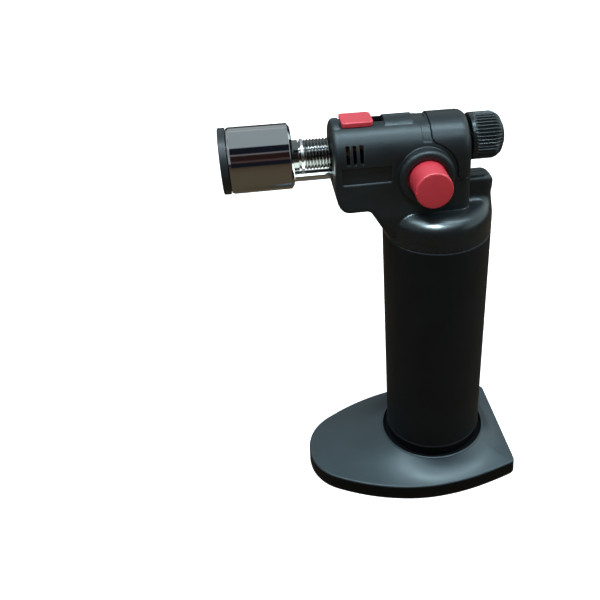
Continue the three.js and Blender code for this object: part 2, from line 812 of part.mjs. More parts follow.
const FEED_PIPE_ROUTE = [
  [1.5, 6.3, 131.6], [1.5, 6.3, 140], [1.5, 5.6, 147], [1.5, 2.6, 153],
];

const JET_PIPE_ROUTE = [
  [-3.5, 0, KNOB_Z], [-12, 0, KNOB_Z + 0.2], [-22, 0, KNOB_Z - 0.8], [-33, 0, HEAD_AXIS_Z],
];

const WIRE_ROUTE = [
  [-12.2, 6, BUTTON_Z], [-19, 5, 151], [-28, 1.6, 148.8], [-37.6, 0, IGNITER_Z],
];

// ---------------------------------------------------------------- flame lock

function makeSlider() {
  const rear = SLIDER_FRONT_X + SLIDER_LENGTH;
  const top = HEAD_AXIS_Z + HEAD_HALF_WIDTH + 0.9;
  const crown = block(SLIDER_FRONT_X, rear, -5.4, 5.4, 162, top)
    .subtract(rod("x", HEAD_HALF_WIDTH + GAP, -60, 0, [0, 0, HEAD_AXIS_Z], 64));
  const stem = block(-36.2, -27.4, -2.2, 2.2, 164.4, top - 0.5);
  const foot = block(-36.2, -28, -4, 4, 163.4, 164.8);
  return crown.add(stem).add(foot);
}

// ---------------------------------------------------------------- assembly

function piece(name, solid, look, at = [0, 0, 0]) {
  const mesh = new THREE.Mesh(toGeometry(solid), look);
  mesh.name = name;
  mesh.position.set(...at);
  return mesh;
}

function groupAt(place, meshes) {
  const group = new THREE.Group();
  group.position.set(...place);
  group.add(...meshes);
  return group;
}

const stand = groupAt([0, 0, 0], [
  piece("stand_shell", makeStandShell(), BLACK_SATIN),
  piece("stand_bottom_plate", makeBottomPlate(), BLACK_MATTE),
  ...PLATE_SCREWS.map(([x, y], i) =>
    piece(`stand_screw_${i + 1}`, makePlateScrew(), STEEL, [x, y, 0])),
]);

const tank = groupAt([0, 0, 0], [
  piece("tank_shell", makeTankShell(), BLACK_MATTE),
  piece("tank_lid", makeTankLid(), BLACK_MATTE),
  piece("tank_lid_seal", makeSealRing("z", 18.95, 0.45, 117.8), RUBBER),
  piece("tank_valve_body", makeTankValveBody(), BRASS),
  piece("tank_valve_stem", turned("z", TANK_STEM_PROFILE, [0, 0, 0], 24), STEEL),
  piece("tank_valve_spring", spring("z", 1.6, 0.25, 120.6, 124.9, 4), STEEL),
  piece("dip_tube", tube("z", 1.7, 0.9, 25, 111.6, [0, 0, 0], 12), WHITE_PLASTIC),
  piece("refill_valve_body", turned("z", REFILL_BODY_PROFILE), BRASS),
  piece("refill_valve_stem", turned("z", REFILL_STEM_PROFILE, [0, 0, 0], 24), STEEL),
  piece("refill_valve_spring", spring("z", 1.9, 0.25, 15.8, 22, 4), STEEL),
  piece("refill_valve_nut", makeRefillNut(), BRASS),
]);

const housing = groupAt([0, 0, 0], [
  piece("housing_left", makeHousingHalf(1), BLACK_SATIN),
  piece("housing_right", makeHousingHalf(-1), BLACK_SATIN),
  piece("rear_cover", makeRearCover(), BLACK_SATIN),
  piece("lock_slider", makeSlider(), RED),
  ...HOUSING_SCREWS.map(([x, z], i) =>
    piece(`housing_screw_${i + 1}`, makeHousingScrew(), STEEL, [x, 0, z])),
]);

const ignition = groupAt([BUTTON_X, 0, BUTTON_Z], [
  piece("ignition_button", makeButton(), RED),
  piece("button_spring", spring("y", 4.8, 0.35, -23.5, -6.5, 6), STEEL),
  piece("piezo_plunger", turned("y", PLUNGER_PROFILE), WHITE_PLASTIC),
  piece("piezo_body", turned("y", PIEZO_PROFILE), BLACK_GLOSS),
]);

const lever = groupAt([0, LEVER_PIN_Y, LEVER_PIN_Z], [
  piece("valve_lever", makeLever(), STEEL),
  piece("lever_pin", rod("x", 1, -10.8, 4.8, [0, 0, 0], 20), STEEL),
]);

const gasValve = groupAt([0, 0, KNOB_Z], [
  piece("gas_knob", makeKnob(), BLACK_GLOSS),
  piece("gas_valve_spindle", turned("x", SPINDLE_PROFILE, [0, 0, 0], 24), BRASS),
  piece("spindle_seal", makeSealRing("x", 2.6, 0.45, 4.3), RUBBER),
  piece("gas_valve_body", makeGasValveBody(), BRASS),
]);

const gasPipes = groupAt([0, 0, 0], [
  piece("gas_feed_pipe", bentBar(FEED_PIPE_ROUTE, 1.3, 16), BRASS),
  piece("gas_jet_pipe", bentBar(JET_PIPE_ROUTE, 1, 18), BRASS),
  piece("igniter_wire", bentBar(WIRE_ROUTE, 0.6, 20, 6), RUBBER),
]);

const burner = groupAt([0, 0, HEAD_AXIS_Z], [
  piece("burner_tube", makeBurnerTube(), DARK_CHROME),
  piece("gas_jet", turned("x", JET_PROFILE), BRASS),
  piece("burner_head", makeBurnerHead(), STEEL),
  piece("flame_holder", makeFlameHolder(), CERAMIC),
  piece("guard_nut", tube("x", 5.6, 4.9, -55.6, -53.1), DARK_CHROME),
  piece("guard_washer", tube("x", 5.9, 5.4, -52.4, -51.3), STEEL),
  piece("flame_guard", makeFlameGuard(), CHROME),
  piece("guard_front_ring", turned("x", FRONT_RING_PROFILE, [0, 0, 0], 44), BLACK_GLOSS),
]);

const igniter = groupAt([0, 0, IGNITER_Z], [
  piece("igniter_tube", tube("x", IGNITER_R, 1.5, -61.5, -38.2, [0, 0, 0], 24), CHROME),
  piece("electrode_insulator", tube("x", 1.2, 0.7, -70, -38.6, [0, 0, 0], 16), CERAMIC),
  piece("electrode_pin", rod("x", 0.4, -72.5, -38.8, [0, 0, 0], 12), STEEL),
]);

const torch = new THREE.Group();
torch.add(stand, tank, housing, ignition, lever, gasValve, gasPipes, burner, igniter);

export default torch;
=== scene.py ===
"""Table-top butane torch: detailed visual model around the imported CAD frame.

Shapes are in millimetres, and become metres in new_object and rounded_box. Lamps, the camera and
materials are in metres.
"""

import itertools
import json
import math

import bmesh
import bpy
import numpy as np
from mathutils import Matrix, Vector


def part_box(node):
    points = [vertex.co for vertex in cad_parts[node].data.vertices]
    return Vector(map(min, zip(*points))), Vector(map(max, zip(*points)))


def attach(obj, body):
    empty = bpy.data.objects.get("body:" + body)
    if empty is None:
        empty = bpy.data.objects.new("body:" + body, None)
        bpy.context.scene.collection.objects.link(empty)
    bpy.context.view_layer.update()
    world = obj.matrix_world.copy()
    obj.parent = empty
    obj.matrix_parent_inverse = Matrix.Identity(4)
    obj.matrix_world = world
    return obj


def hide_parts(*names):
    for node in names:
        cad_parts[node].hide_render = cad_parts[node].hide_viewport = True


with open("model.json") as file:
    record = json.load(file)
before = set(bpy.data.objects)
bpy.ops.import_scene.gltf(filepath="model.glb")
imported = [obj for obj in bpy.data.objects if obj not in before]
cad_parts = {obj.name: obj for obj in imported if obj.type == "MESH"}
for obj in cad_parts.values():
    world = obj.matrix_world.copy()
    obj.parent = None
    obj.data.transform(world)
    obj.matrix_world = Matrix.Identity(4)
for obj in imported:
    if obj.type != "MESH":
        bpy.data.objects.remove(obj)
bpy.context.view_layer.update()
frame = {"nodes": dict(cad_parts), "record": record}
MM = 0.001
ON_AXIS = 1e-6


# ---------------------------------------- places, from the frame


def node_box(name):
    """(lowest, highest) corner of a CAD node, in millimetres."""
    low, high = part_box(name)
    return np.array(low) / MM, np.array(high) / MM


STAND_LOW, STAND_HIGH = node_box("stand_shell")
TANK_LOW, TANK_HIGH = node_box("tank_shell")
HOUSING_LOW, _ = node_box("housing_right")
HOUSING_HIGH = node_box("housing_left")[1]
COVER_LOW, COVER_HIGH = node_box("rear_cover")
BUTTON_LOW, BUTTON_HIGH = node_box("ignition_button")
PIEZO_LOW, PIEZO_HIGH = node_box("piezo_body")
KNOB_LOW, KNOB_HIGH = node_box("gas_knob")
SLIDER_LOW, SLIDER_HIGH = node_box("lock_slider")
GUARD_LOW, GUARD_HIGH = node_box("flame_guard")
RING_LOW, RING_HIGH = node_box("guard_front_ring")
TUBE_LOW, TUBE_HIGH = node_box("burner_tube")
NUT_LOW, NUT_HIGH = node_box("guard_nut")
WASHER_LOW, WASHER_HIGH = node_box("guard_washer")
BURNER_LOW, BURNER_HIGH = node_box("burner_head")
HOLDER_LOW, HOLDER_HIGH = node_box("flame_holder")
IGNITER_LOW, IGNITER_HIGH = node_box("igniter_tube")

TANK_R = TANK_HIGH[0]
SEAM_Z = HOUSING_LOW[2]
SHOULDER_Z = SEAM_Z + 12.9
HEAD_AXIS_Z = (GUARD_LOW[2] + GUARD_HIGH[2]) / 2
HEAD_FRONT_X = HOUSING_LOW[0]
HEAD_REAR_X = COVER_HIGH[0]
COVER_R = COVER_HIGH[1]
HEAD_R = COVER_R - 0.5
CREST_R = 8  # raised top of the head, in front of and behind the slider's slot
CREST_Z = HOUSING_HIGH[2] - CREST_R
SLOT_REAR_X = -21.5
BUTTON_X = (PIEZO_LOW[0] + PIEZO_HIGH[0]) / 2
BUTTON_Z = (PIEZO_LOW[2] + PIEZO_HIGH[2]) / 2
BUTTON_FACE_Y = BUTTON_LOW[1]
BUTTON_R = 7
BOSS_FACE_Y = -15.7
BOSS_R = 10.7
BOSS_BORE_R = 9.0
BOSS_MOUTH_R = 7.6  # narrower mouth that keeps the button's flange inside
KNOB_Z = (KNOB_LOW[2] + KNOB_HIGH[2]) / 2
KNOB_R = (KNOB_HIGH[2] - KNOB_LOW[2]) / 2
IGNITER_Z = (IGNITER_LOW[2] + IGNITER_HIGH[2]) / 2
GUARD_R = (GUARD_HIGH[2] - GUARD_LOW[2]) / 2
TUBE_R = (TUBE_HIGH[2] - TUBE_LOW[2]) / 2
PARTING = 0.06  # half the gap between the two housing halves
REAR_ROUND = 4  # rounding of the head's rear edges
COVER_CUT_R = 12.4  # the rear cover stops at this circle around the button


# ---------------------------------------- mesh helpers


def new_object(name, vertices, faces, smooth_angle=35):
    """A mesh object from millimetre vertices, smooth except at edges sharper than the angle."""
    mesh = bpy.data.meshes.new(name)
    mesh.from_pydata((np.asarray(vertices, float) * MM).tolist(), [], faces)
    mesh.validate()
    mesh.polygons.foreach_set("use_smooth", [True] * len(mesh.polygons))
    mesh.set_sharp_from_angle(angle=math.radians(smooth_angle))
    obj = bpy.data.objects.new(name, mesh)
    bpy.context.scene.collection.objects.link(obj)
    return obj


def dress(obj, body, slot, *nodes, material=None):
    """Gives a piece its body and the material of its slot, or another material, and hides the CAD
    nodes that it stands for.
    """
    obj.data.materials.clear()
    obj.data.materials.append(MATERIALS[material or slot])
    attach(obj, body)
    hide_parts(*nodes)


def bezier(*controls, count=8):
    """Points along the curve of some control points, without its first point."""
    t = np.linspace(0, 1, count + 1)[1:, None]
    points = [np.array(p, float) for p in controls]
    while len(points) > 1:
        points = [(1 - t) * a + t * b for a, b in zip(points, points[1:])]
    return [tuple(p) for p in points[0]]


def round_profile(points, steps=5):
    """Turns (radius, along, fillet) corners into a profile with arcs at the corners."""
    out = []
    count = len(points)
    for i, point in enumerate(points):
        here = np.array(point[:2], float)
        fillet = point[2] if len(point) > 2 else 0
        if fillet <= 0 or i in (0, count - 1):
            out.append(tuple(here))
            continue
        before = np.array(points[i - 1][:2], float) - here
        after = np.array(points[(i + 1) % count][:2], float) - here
        len_a, len_b = np.linalg.norm(before), np.linalg.norm(after)
        before, after = before / len_a, after / len_b
        half = math.acos(max(-1, min(1, float(before @ after)))) / 2
        reach = min(fillet / math.tan(half), len_a * 0.49, len_b * 0.49)
        start, end = here + before * reach, here + after * reach
        out.append(tuple(start))
        out += bezier(start, here, end, count=steps)
    return out


AXES = {
    "x": lambda r, a, c, s: (a, r * c, r * s),
    "y": lambda r, a, c, s: (r * s, a, r * c),
    "z": lambda r, a, c, s: (r * c, r * s, a),
}


def turned(name, axis, points, centre=(0, 0, 0), segments=128, steps=5, closed=False,
           relief=None, smooth_angle=35):
    """A turned piece: an open profile starts and ends on the axis, a closed one is a ring.

    A relief gives what to add to the radius, from the place along the axis and the turn (0-1).
    """
    place = AXES[axis]
    vertices, faces, rows = [], [], []
    for r, along in round_profile(points, steps):
        if r < ON_AXIS:
            rows.append([len(vertices)] * segments)
            vertices.append(place(0, along, 1, 0))
            continue
        rows.append([len(vertices) + k for k in range(segments)])
        for k in range(segments):
            turn = k / segments
            angle = 2 * math.pi * turn
            reach = r + relief(along, turn) if relief else r
            vertices.append(place(reach, along, math.cos(angle), math.sin(angle)))
    pairs = list(zip(rows, rows[1:]))
    if closed:
        pairs.append((rows[-1], rows[0]))
    for low, high in pairs:
        for k in range(segments):
            n = (k + 1) % segments
            corners = [low[k], low[n], high[n], high[k]]
            face = [v for j, v in enumerate(corners) if v != corners[j - 1]]
            if len(face) > 2:
                faces.append(face)
    obj = new_object(name, np.array(vertices) + np.array(centre), faces, smooth_angle)
    turn_outwards(obj)
    return obj


def sleeve(inner, outer, low, high, edge=0.3):
    """Profile of a plain ring, with its outer edges rounded."""
    return [(inner, low, 0.1), (outer, low, edge), (outer, high, edge), (inner, high, 0.1)]


def turn_outwards(obj):
    """Makes the faces of a closed mesh point out."""
    bm = bmesh.new()
    bm.from_mesh(obj.data)
    bmesh.ops.recalc_face_normals(bm, faces=bm.faces)
    if bm.calc_volume(signed=True) < 0:
        bmesh.ops.reverse_faces(bm, faces=bm.faces)
    bm.to_mesh(obj.data)
    bm.free()


def join(name, *objects):
    """Joins meshes into the first one and renames it."""
    bm = bmesh.new()
    for obj in objects:
        bm.from_mesh(obj.data)
    first = objects[0]
    bm.to_mesh(first.data)
    bm.free()
    for obj in objects[1:]:
        bpy.data.objects.remove(obj)
    first.name = name
    return first


def rounded_box(name, low, high, bevel):
    """A box between two corners with bevelled edges."""
    bm = bmesh.new()
    bmesh.ops.create_cube(bm, size=1)
    low, high = np.array(low, float), np.array(high, float)
    for vertex in bm.verts:
        vertex.co = Vector(tuple((low + high) / 2 * MM + np.array(vertex.co) * (high - low) * MM))
    bmesh.ops.bevel(bm, geom=bm.edges[:] + bm.verts[:], offset=bevel * MM, segments=3,
                    profile=0.5, affect="EDGES")
    mesh = bpy.data.meshes.new(name)
    bm.to_mesh(mesh)
    bm.free()
    mesh.polygons.foreach_set("use_smooth", [True] * len(mesh.polygons))
    obj = bpy.data.objects.new(name, mesh)
    bpy.context.scene.collection.objects.link(obj)
    return obj


# ---------------------------------------- solids from distance fields
# A field gives the signed distance in mm at points (x, y, z): negative inside the solid.


def round_and(a, b, r):
    """Common part of two solids, with its edges rounded to radius r."""
    u, v = np.maximum(a + r, 0), np.maximum(b + r, 0)
    return np.minimum(-r, np.maximum(a, b)) + np.hypot(u, v)


def round_or(a, b, r):
    """Two solids together, with a fillet of radius r in the corner between them."""
    u, v = np.maximum(r - a, 0), np.maximum(r - b, 0)
    return np.maximum(r, np.minimum(a, b)) - np.hypot(u, v)


def box_field(x, y, z, low, high, r=0.0):
    """A box between two corners, with edges rounded to r."""
    q = []
    for p, lo, hi in zip((x, y, z), low, high):
        q.append(np.abs(p - (lo + hi) / 2) - (hi - lo) / 2 + r)
    outside = np.sqrt(sum(np.maximum(c, 0) ** 2 for c in q))
    inside = np.minimum(np.maximum(q[0], np.maximum(q[1], q[2])), 0)
    return outside + inside - r


def rod_field(axis, x, y, z, radius, start, end, centre, r=0.0):
    """A round bar along an axis, with end edges rounded to r."""
    if axis == "x":
        across, along = np.hypot(y - centre[0], z - centre[1]), x
    elif axis == "y":
        across, along = np.hypot(x - centre[0], z - centre[1]), y
    else:
        across, along = np.hypot(x - centre[0], y - centre[1]), z
    q = across - radius + r
    p = np.abs(along - (start + end) / 2) - (end - start) / 2 + r
    return np.minimum(np.maximum(q, p), 0) + np.hypot(np.maximum(q, 0), np.maximum(p, 0)) - r


def arch_field(y, z, radius):
    """Straight sides with a half-round top about the head's axis."""
    above = np.hypot(y, z - HEAD_AXIS_Z) - radius
    return np.where(z > HEAD_AXIS_Z, above, np.abs(y) - radius)


def outline_field(u, v, points):
    """Distance to a closed outline in a plane."""
    points = np.asarray(points, float)
    best = np.full(np.broadcast(u, v).shape, 1e9)
    inside = np.zeros(best.shape, bool)
    for a, b in zip(points, np.roll(points, -1, axis=0)):
        edge = b - a
        du, dv = u - a[0], v - a[1]
        t = np.clip((du * edge[0] + dv * edge[1]) / (edge @ edge), 0, 1)
        best = np.minimum(best, (du - edge[0] * t) ** 2 + (dv - edge[1] * t) ** 2)
        crosses = (a[1] > v) != (b[1] > v)
        at = a[0] + (v - a[1]) * edge[0] / (edge[1] if edge[1] else 1e-9)
        inside ^= crosses & (u < at)
    distance = np.sqrt(best)
    return np.where(inside, -distance, distance)


# Corners and edges of a grid cell.
CORNERS = list(itertools.product((0, 1), repeat=3))
EDGES = [(a, b) for a in CORNERS for b in CORNERS
         if sum(b) - sum(a) == 1 and all(p <= q for p, q in zip(a, b))]


def field_piece(name, field, xs, ys, zs, smooth_angle=50):
    """Meshes the zero level of a field over a grid, and moves its points onto that level."""
    grid = np.meshgrid(xs, ys, zs, indexing="ij")
    values = field(*grid)
    shape = np.array(values.shape) - 1
    total = np.zeros(tuple(shape) + (3,))
    hits = np.zeros(tuple(shape))

    def corner(array, offset):
        return array[tuple(slice(o, o + n) for o, n in zip(offset, shape))]

    for start, end in EDGES:
        a, b = corner(values, start), corner(values, end)
        crossing = (a < 0) != (b < 0)
        t = np.where(crossing, a / np.where(crossing, a - b, 1), 0)
        for k in range(3):
            pa, pb = corner(grid[k], start), corner(grid[k], end)
            total[..., k] += np.where(crossing, pa + (pb - pa) * t, 0)
        hits += crossing
    active = hits > 0
    index = np.full(active.shape, -1)
    index[active] = np.arange(active.sum())
    points = total[active] / hits[active][:, None]

    faces = []
    inside = values < 0
    for axis in range(3):
        one = [slice(None)] * 3
        two = [slice(None)] * 3
        one[axis], two[axis] = slice(0, -1), slice(1, None)
        change = inside[tuple(one)] != inside[tuple(two)]
        falling = inside[tuple(one)]
        b, c = [(1, 2), (2, 0), (0, 1)][axis]
        for k, rim in itertools.product((b, c), (slice(0, 1), slice(-1, None))):
            outermost = [slice(None)] * 3
            outermost[k] = rim
            change[tuple(outermost)] = False
        where = np.argwhere(change)
        quads = []
        for db, dc in ((-1, -1), (0, -1), (0, 0), (-1, 0)):
            at = where.copy()
            at[:, b] += db
            at[:, c] += dc
            quads.append(index[at[:, 0], at[:, 1], at[:, 2]])
        quads = np.stack(quads, axis=1)
        flip = ~falling[tuple(where.T)]
        quads[flip] = quads[flip][:, ::-1]
        faces.append(quads)
    faces = np.concatenate(faces)

    step, flattest, longest_move = 0.02, 0.25, 0.2
    for _ in range(3):
        x, y, z = points.T
        value = field(x, y, z)
        slope = np.stack([
            field(x + step, y, z) - field(x - step, y, z),
            field(x, y + step, z) - field(x, y - step, z),
            field(x, y, z + step) - field(x, y, z - step),
        ], axis=1) / (2 * step)
        size = np.maximum((slope**2).sum(1), flattest)
        move = -slope * (value / size)[:, None]
        length = np.linalg.norm(move, axis=1, keepdims=True)
        points = points + move * np.minimum(1, longest_move / np.maximum(length, 1e-9))
    return new_object(name, points, faces.tolist(), smooth_angle)


def span(low, high, step, *fine):
    """Grid lines from just under low to just over high, closer in the (start, end) zones."""
    fine_share = 0.45
    lines = [low - 1.5 * step]
    while lines[-1] < high + 1.2 * step:
        close = any(a <= lines[-1] < b for a, b in fine)
        lines.append(lines[-1] + (step * fine_share if close else step))
    return np.array(lines)


def boxed_piece(name, field, low, high, step):
    """Meshes a field between the corners of the CAD node that it stands for."""
    return field_piece(name, field, *(span(a, b, step) for a, b in zip(low, high)))


# ---------------------------------------- node trees


class Nodes:
    """Short forms for building a material's or world's node tree."""

    def __init__(self, owner):
        owner.use_nodes = True
        self.tree = owner.node_tree
        self.tree.nodes.clear()

    def add(self, kind, setting=None, **sockets):
        """Adds a node with one (attribute, value) setting, and sets some of its sockets."""
        node = self.tree.nodes.new(kind)
        if setting:
            setattr(node, *setting)
        for key, value in sockets.items():
            node.inputs[key.replace("_", " ")].default_value = value
        return node

    def link(self, output, socket):
        self.tree.links.new(output, socket)

    def feed(self, value, socket):
        """Links an output to a socket, or sets the socket to a value."""
        if hasattr(value, "is_output"):
            self.link(value, socket)
        else:
            socket.default_value = value

    def math(self, operation, a, b=0):
        node = self.add("ShaderNodeMath", ("operation", operation))
        self.feed(a, node.inputs[0])
        self.feed(b, node.inputs[1])
        return node.outputs[0]

    def smooth(self, value, low, high):
        """0 under low, 1 over high, and a smooth step between them."""
        node = self.add("ShaderNodeMapRange", ("interpolation_type", "SMOOTHSTEP"),
                        From_Min=low, From_Max=high)
        self.link(value, node.inputs["Value"])
        return node.outputs["Result"]

    def split(self, space):
        """The x, y and z of a texture space."""
        node = self.add("ShaderNodeSeparateXYZ")
        self.link(self.add("ShaderNodeTexCoord").outputs[space], node.inputs[0])
        return node.outputs

    def ramp(self, value, *stops):
        """A colour ramp; each stop is (position, colour)."""
        node = self.add("ShaderNodeValToRGB")
        elements = node.color_ramp.elements
        while len(elements) < len(stops):
            elements.new(0.5)
        for element, (position, colour) in zip(elements, stops):
            element.position = position
            element.color = (*colour, 1)
        self.link(value, node.inputs["Fac"])
        return node.outputs["Color"]

    def output(self, kind, shader, seen=None):
        """Ends the tree with a shader, or with another one where the camera sees it."""
        surface = shader.outputs[0]
        if seen:
            mix = self.add("ShaderNodeMixShader")
            self.link(self.add("ShaderNodeLightPath").outputs["Is Camera Ray"], mix.inputs[0])
            self.link(surface, mix.inputs[1])
            self.link(seen.outputs[0], mix.inputs[2])
            surface = mix.outputs[0]
        self.link(surface, self.add(kind).inputs["Surface"])


class Paint(Nodes):
    """A material with one shader, painted in object space."""

    def __init__(self, name):
        self.name = name
        self.material = bpy.data.materials.new(name)
        super().__init__(self.material)
        self.shader = self.add("ShaderNodeBsdfPrincipled")
        self.output("ShaderNodeOutputMaterial", self.shader)
        self.place = self.add("ShaderNodeTexCoord").outputs["Object"]

    def drive(self, socket, value):
        """Links an output to one of the shader's sockets."""
        self.link(value, self.shader.inputs[socket])

    def source(self, socket):
        """The output that feeds one of the shader's sockets."""
        return self.shader.inputs[socket].links[0].from_socket

    def noise(self, scale, detail=3, rough=0.5, stretch=None):
        """A noise in object space, at a scale in cells per metre."""
        place = self.place
        if stretch:
            mapping = self.add("ShaderNodeMapping", Scale=stretch)
            self.link(place, mapping.inputs["Vector"])
            place = mapping.outputs[0]
        node = self.add("ShaderNodeTexNoise", Scale=scale, Detail=detail, Roughness=rough)
        self.link(place, node.inputs["Vector"])
        return node.outputs["Fac"]

    def range(self, value, low, high, start=0.3, end=0.7):
        """Maps a noise value to a range."""
        node = self.add("ShaderNodeMapRange", From_Min=start, From_Max=end,
                        To_Min=low, To_Max=high)
        self.link(value, node.inputs["Value"])
        return node.outputs["Result"]

    def mix(self, fac, a, b):
        """Mixes two colours, each an output or three numbers."""
        node = self.add("ShaderNodeMix", ("data_type", "RGBA"))
        self.link(fac, node.inputs["Factor"])
        targets = [s for s in node.inputs if s.name in "AB" and s.type == "RGBA"]
        for target, value in zip(targets, (a, b)):
            self.feed(value if hasattr(value, "is_output") else (*value, 1), target)
        return [s for s in node.outputs if s.type == "RGBA"][0]

    def bump(self, height, strength, distance, under=None):
        node = self.add("ShaderNodeBump", Strength=strength, Distance=distance)
        self.link(height, node.inputs["Height"])
        if under:
            self.link(under, node.inputs["Normal"])
        return node.outputs["Normal"]

    def edge_wear(self, low=0.52, high=0.6):
        """1 on convex edges, 0 elsewhere."""
        geometry = self.add("ShaderNodeNewGeometry")
        return self.range(geometry.outputs["Pointiness"], 0, 1, low, high)


# ---------------------------------------- materials

GRAIN_DEPTH = 0.00002
MARK_DEPTH = 0.00001
# Near-black colour painted as shade in the stand's socket and on its rim.
PAINTED_SHADE_BLACK = (0.003, 0.003, 0.0035)


def plastic(name, base, light, rough, grain=900, shine=0.5, tint=(1, 1, 1)):
    """Moulded plastic: fine spark grain, faint blotches, and paler rubbed edges."""
    n = Paint(name)
    blotch = n.noise(60, 4, 0.6)
    speck = n.noise(2400, 2, 0.5)
    colour = n.ramp(blotch, (0.3, base), (0.75, light))
    n.drive("Base Color", n.mix(n.edge_wear(), colour, [c * 1.6 + 0.012 for c in light]))
    n.drive("Roughness", n.range(blotch, rough - 0.05, rough + 0.06))
    fine = n.bump(n.noise(grain, 2, 0.6), 0.35, GRAIN_DEPTH)
    n.drive("Normal", n.bump(speck, 0.15, GRAIN_DEPTH / 2, fine))
    n.shader.inputs["IOR"].default_value = 1.5
    n.shader.inputs["Specular IOR Level"].default_value = shine
    n.shader.inputs["Specular Tint"].default_value = (*tint, 1)
    return n


def housing_plastic():
    """Satin plastic, with a smoother collar."""
    n = plastic("housing_plastic", (0.0055, 0.0072, 0.0085), (0.0085, 0.011, 0.013), 0.4,
                shine=0.55, tint=(0.84, 0.97, 1))
    above = n.smooth(n.split("Object")[2], 0.131, 0.135)
    scale = n.math("ADD", n.math("MULTIPLY", above, 0.32), 0.68)
    n.drive("Roughness", n.math("MULTIPLY", n.source("Roughness"), scale))
    return n


def stand_plastic():
    """Satin top, with shade painted near-black on the rim and in the matte socket for the tank.
    """
    n = plastic("stand_plastic", (0.016, 0.025, 0.031), (0.024, 0.036, 0.045), 0.4,
                shine=1.0, tint=(0.86, 0.98, 1))
    x, y, z = n.split("Object")
    square = n.math("ADD", n.math("MULTIPLY", x, x), n.math("MULTIPLY", y, y))
    inside = n.math("LESS_THAN", n.math("SQRT", square), 0.0233)
    # Painted shade: the socket's inside and the rim below 6.9 mm are coloured near-black, with
    # less specular.
    painted_shade = n.math("MAXIMUM", inside, n.math("LESS_THAN", z, 0.0069))
    dull = n.math("MULTIPLY", inside, 0.95)
    n.drive("Base Color", n.mix(painted_shade, n.source("Base Color"), PAINTED_SHADE_BLACK))
    n.drive("Roughness", n.math("MAXIMUM", n.source("Roughness"), dull))
    n.drive("Specular IOR Level", n.math("SUBTRACT", 0.8, n.math("MULTIPLY", painted_shade, 0.65)))
    return n


def metal(name, base, light, rough, stretch=(1, 1, 1), scale=300, scratch=0.2):
    """Metal with faint tool or handling marks, which a stretch lines up."""
    n = Paint(name)
    streak = n.noise(scale, 5, 0.65, stretch)
    blotch = n.noise(45, 4, 0.6)
    n.drive("Base Color", n.mix(blotch, base, light))
    n.drive("Roughness", n.range(streak, rough * 0.7, rough * 1.4))
    n.drive("Normal", n.bump(streak, scratch, MARK_DEPTH))
    n.shader.inputs["Metallic"].default_value = 1.0
    return n


PAINTS = [
    housing_plastic(),
    stand_plastic(),
    plastic("tank_plastic", (0.003, 0.0034, 0.004), (0.0045, 0.005, 0.0058), 0.5, 1500,
            shine=0.3, tint=(0.84, 0.94, 1)),
    plastic("knob_plastic", (0.006, 0.0075, 0.0085), (0.010, 0.012, 0.014), 0.3,
            shine=0.6, tint=(0.86, 0.98, 1)),
    plastic("ring_plastic", (0.010, 0.013, 0.016), (0.016, 0.020, 0.024), 0.4),
    plastic("inner_plastic", (0.012, 0.012, 0.013), (0.02, 0.02, 0.021), 0.6),
    plastic("natural_plastic", (0.6, 0.59, 0.55), (0.7, 0.69, 0.65), 0.5),
    plastic("red_plastic", (0.56, 0.03, 0.048), (0.65, 0.038, 0.06), 0.4, shine=0.9),
    metal("guard_chrome", (0.42, 0.42, 0.43), (0.47, 0.47, 0.48), 0.07, (1, 12, 12), 60, 0.05),
    metal("zinc_plate", (0.62, 0.65, 0.66), (0.74, 0.77, 0.78), 0.16),
    metal("dark_chrome", (0.16, 0.16, 0.16), (0.25, 0.25, 0.24), 0.16),
    metal("steel", (0.5, 0.5, 0.51), (0.62, 0.62, 0.63), 0.3),
    metal("brass", (0.6, 0.4, 0.15), (0.72, 0.52, 0.24), 0.3),
    plastic("seal_rubber", (0.015, 0.015, 0.015), (0.025, 0.025, 0.025), 0.75),
    plastic("wire_rubber", (0.02, 0.02, 0.02), (0.03, 0.03, 0.03), 0.6),
    plastic("white_ceramic", (0.55, 0.52, 0.46), (0.72, 0.69, 0.62), 0.7, 2000),
]
MATERIALS = {paint.name: paint.material for paint in PAINTS}


# ---------------------------------------- stand


def stand_outline(count=240):
    """Outline of the stand at the table: round nose, swelling sides, straight rear edge."""
    front, rear, side = STAND_LOW[0], STAND_HIGH[0], STAND_HIGH[1]
    corner_y, rounding, fine = 26.8, 2.6, 199
    cheek, widest, bend = (-47.6, 20.4), (-4, side), (rear - rounding, corner_y + 0.9)
    half = [(front, 0)]
    half += bezier((front, 0), (front, 9.4), (-54.6, 16.4), cheek, count=fine)
    half += bezier(cheek, (-36, 27.6), (-20, side), widest, count=fine)
    half += bezier(widest, (9, side), (20, 31), bend, count=fine)
    half += bezier(bend, (rear, corner_y), (rear, corner_y - rounding), count=fine)
    half += [(rear, y) for y in np.linspace(corner_y - rounding, 0, fine + 1)]
    half = np.array(half)
    loop = np.concatenate([half, half[::-1] * [1, -1]])
    gaps = np.linalg.norm(np.diff(loop, axis=0, append=loop[:1]), axis=1)
    along = np.concatenate([[0], np.cumsum(gaps)])
    wanted = np.linspace(0, along[-1], count, endpoint=False)
    closed = np.concatenate([loop, loop[:1]])
    points = np.stack([np.interp(wanted, along, closed[:, k]) for k in range(2)], axis=1)
    return points[::-1]


def inset(points, distance):
    """Moves an anticlockwise outline inwards."""
    along = np.roll(points, -1, axis=0) - np.roll(points, 1, axis=0)
    along /= np.linalg.norm(along, axis=1, keepdims=True)
    return points + np.stack([-along[:, 1], along[:, 0]], axis=1) * distance


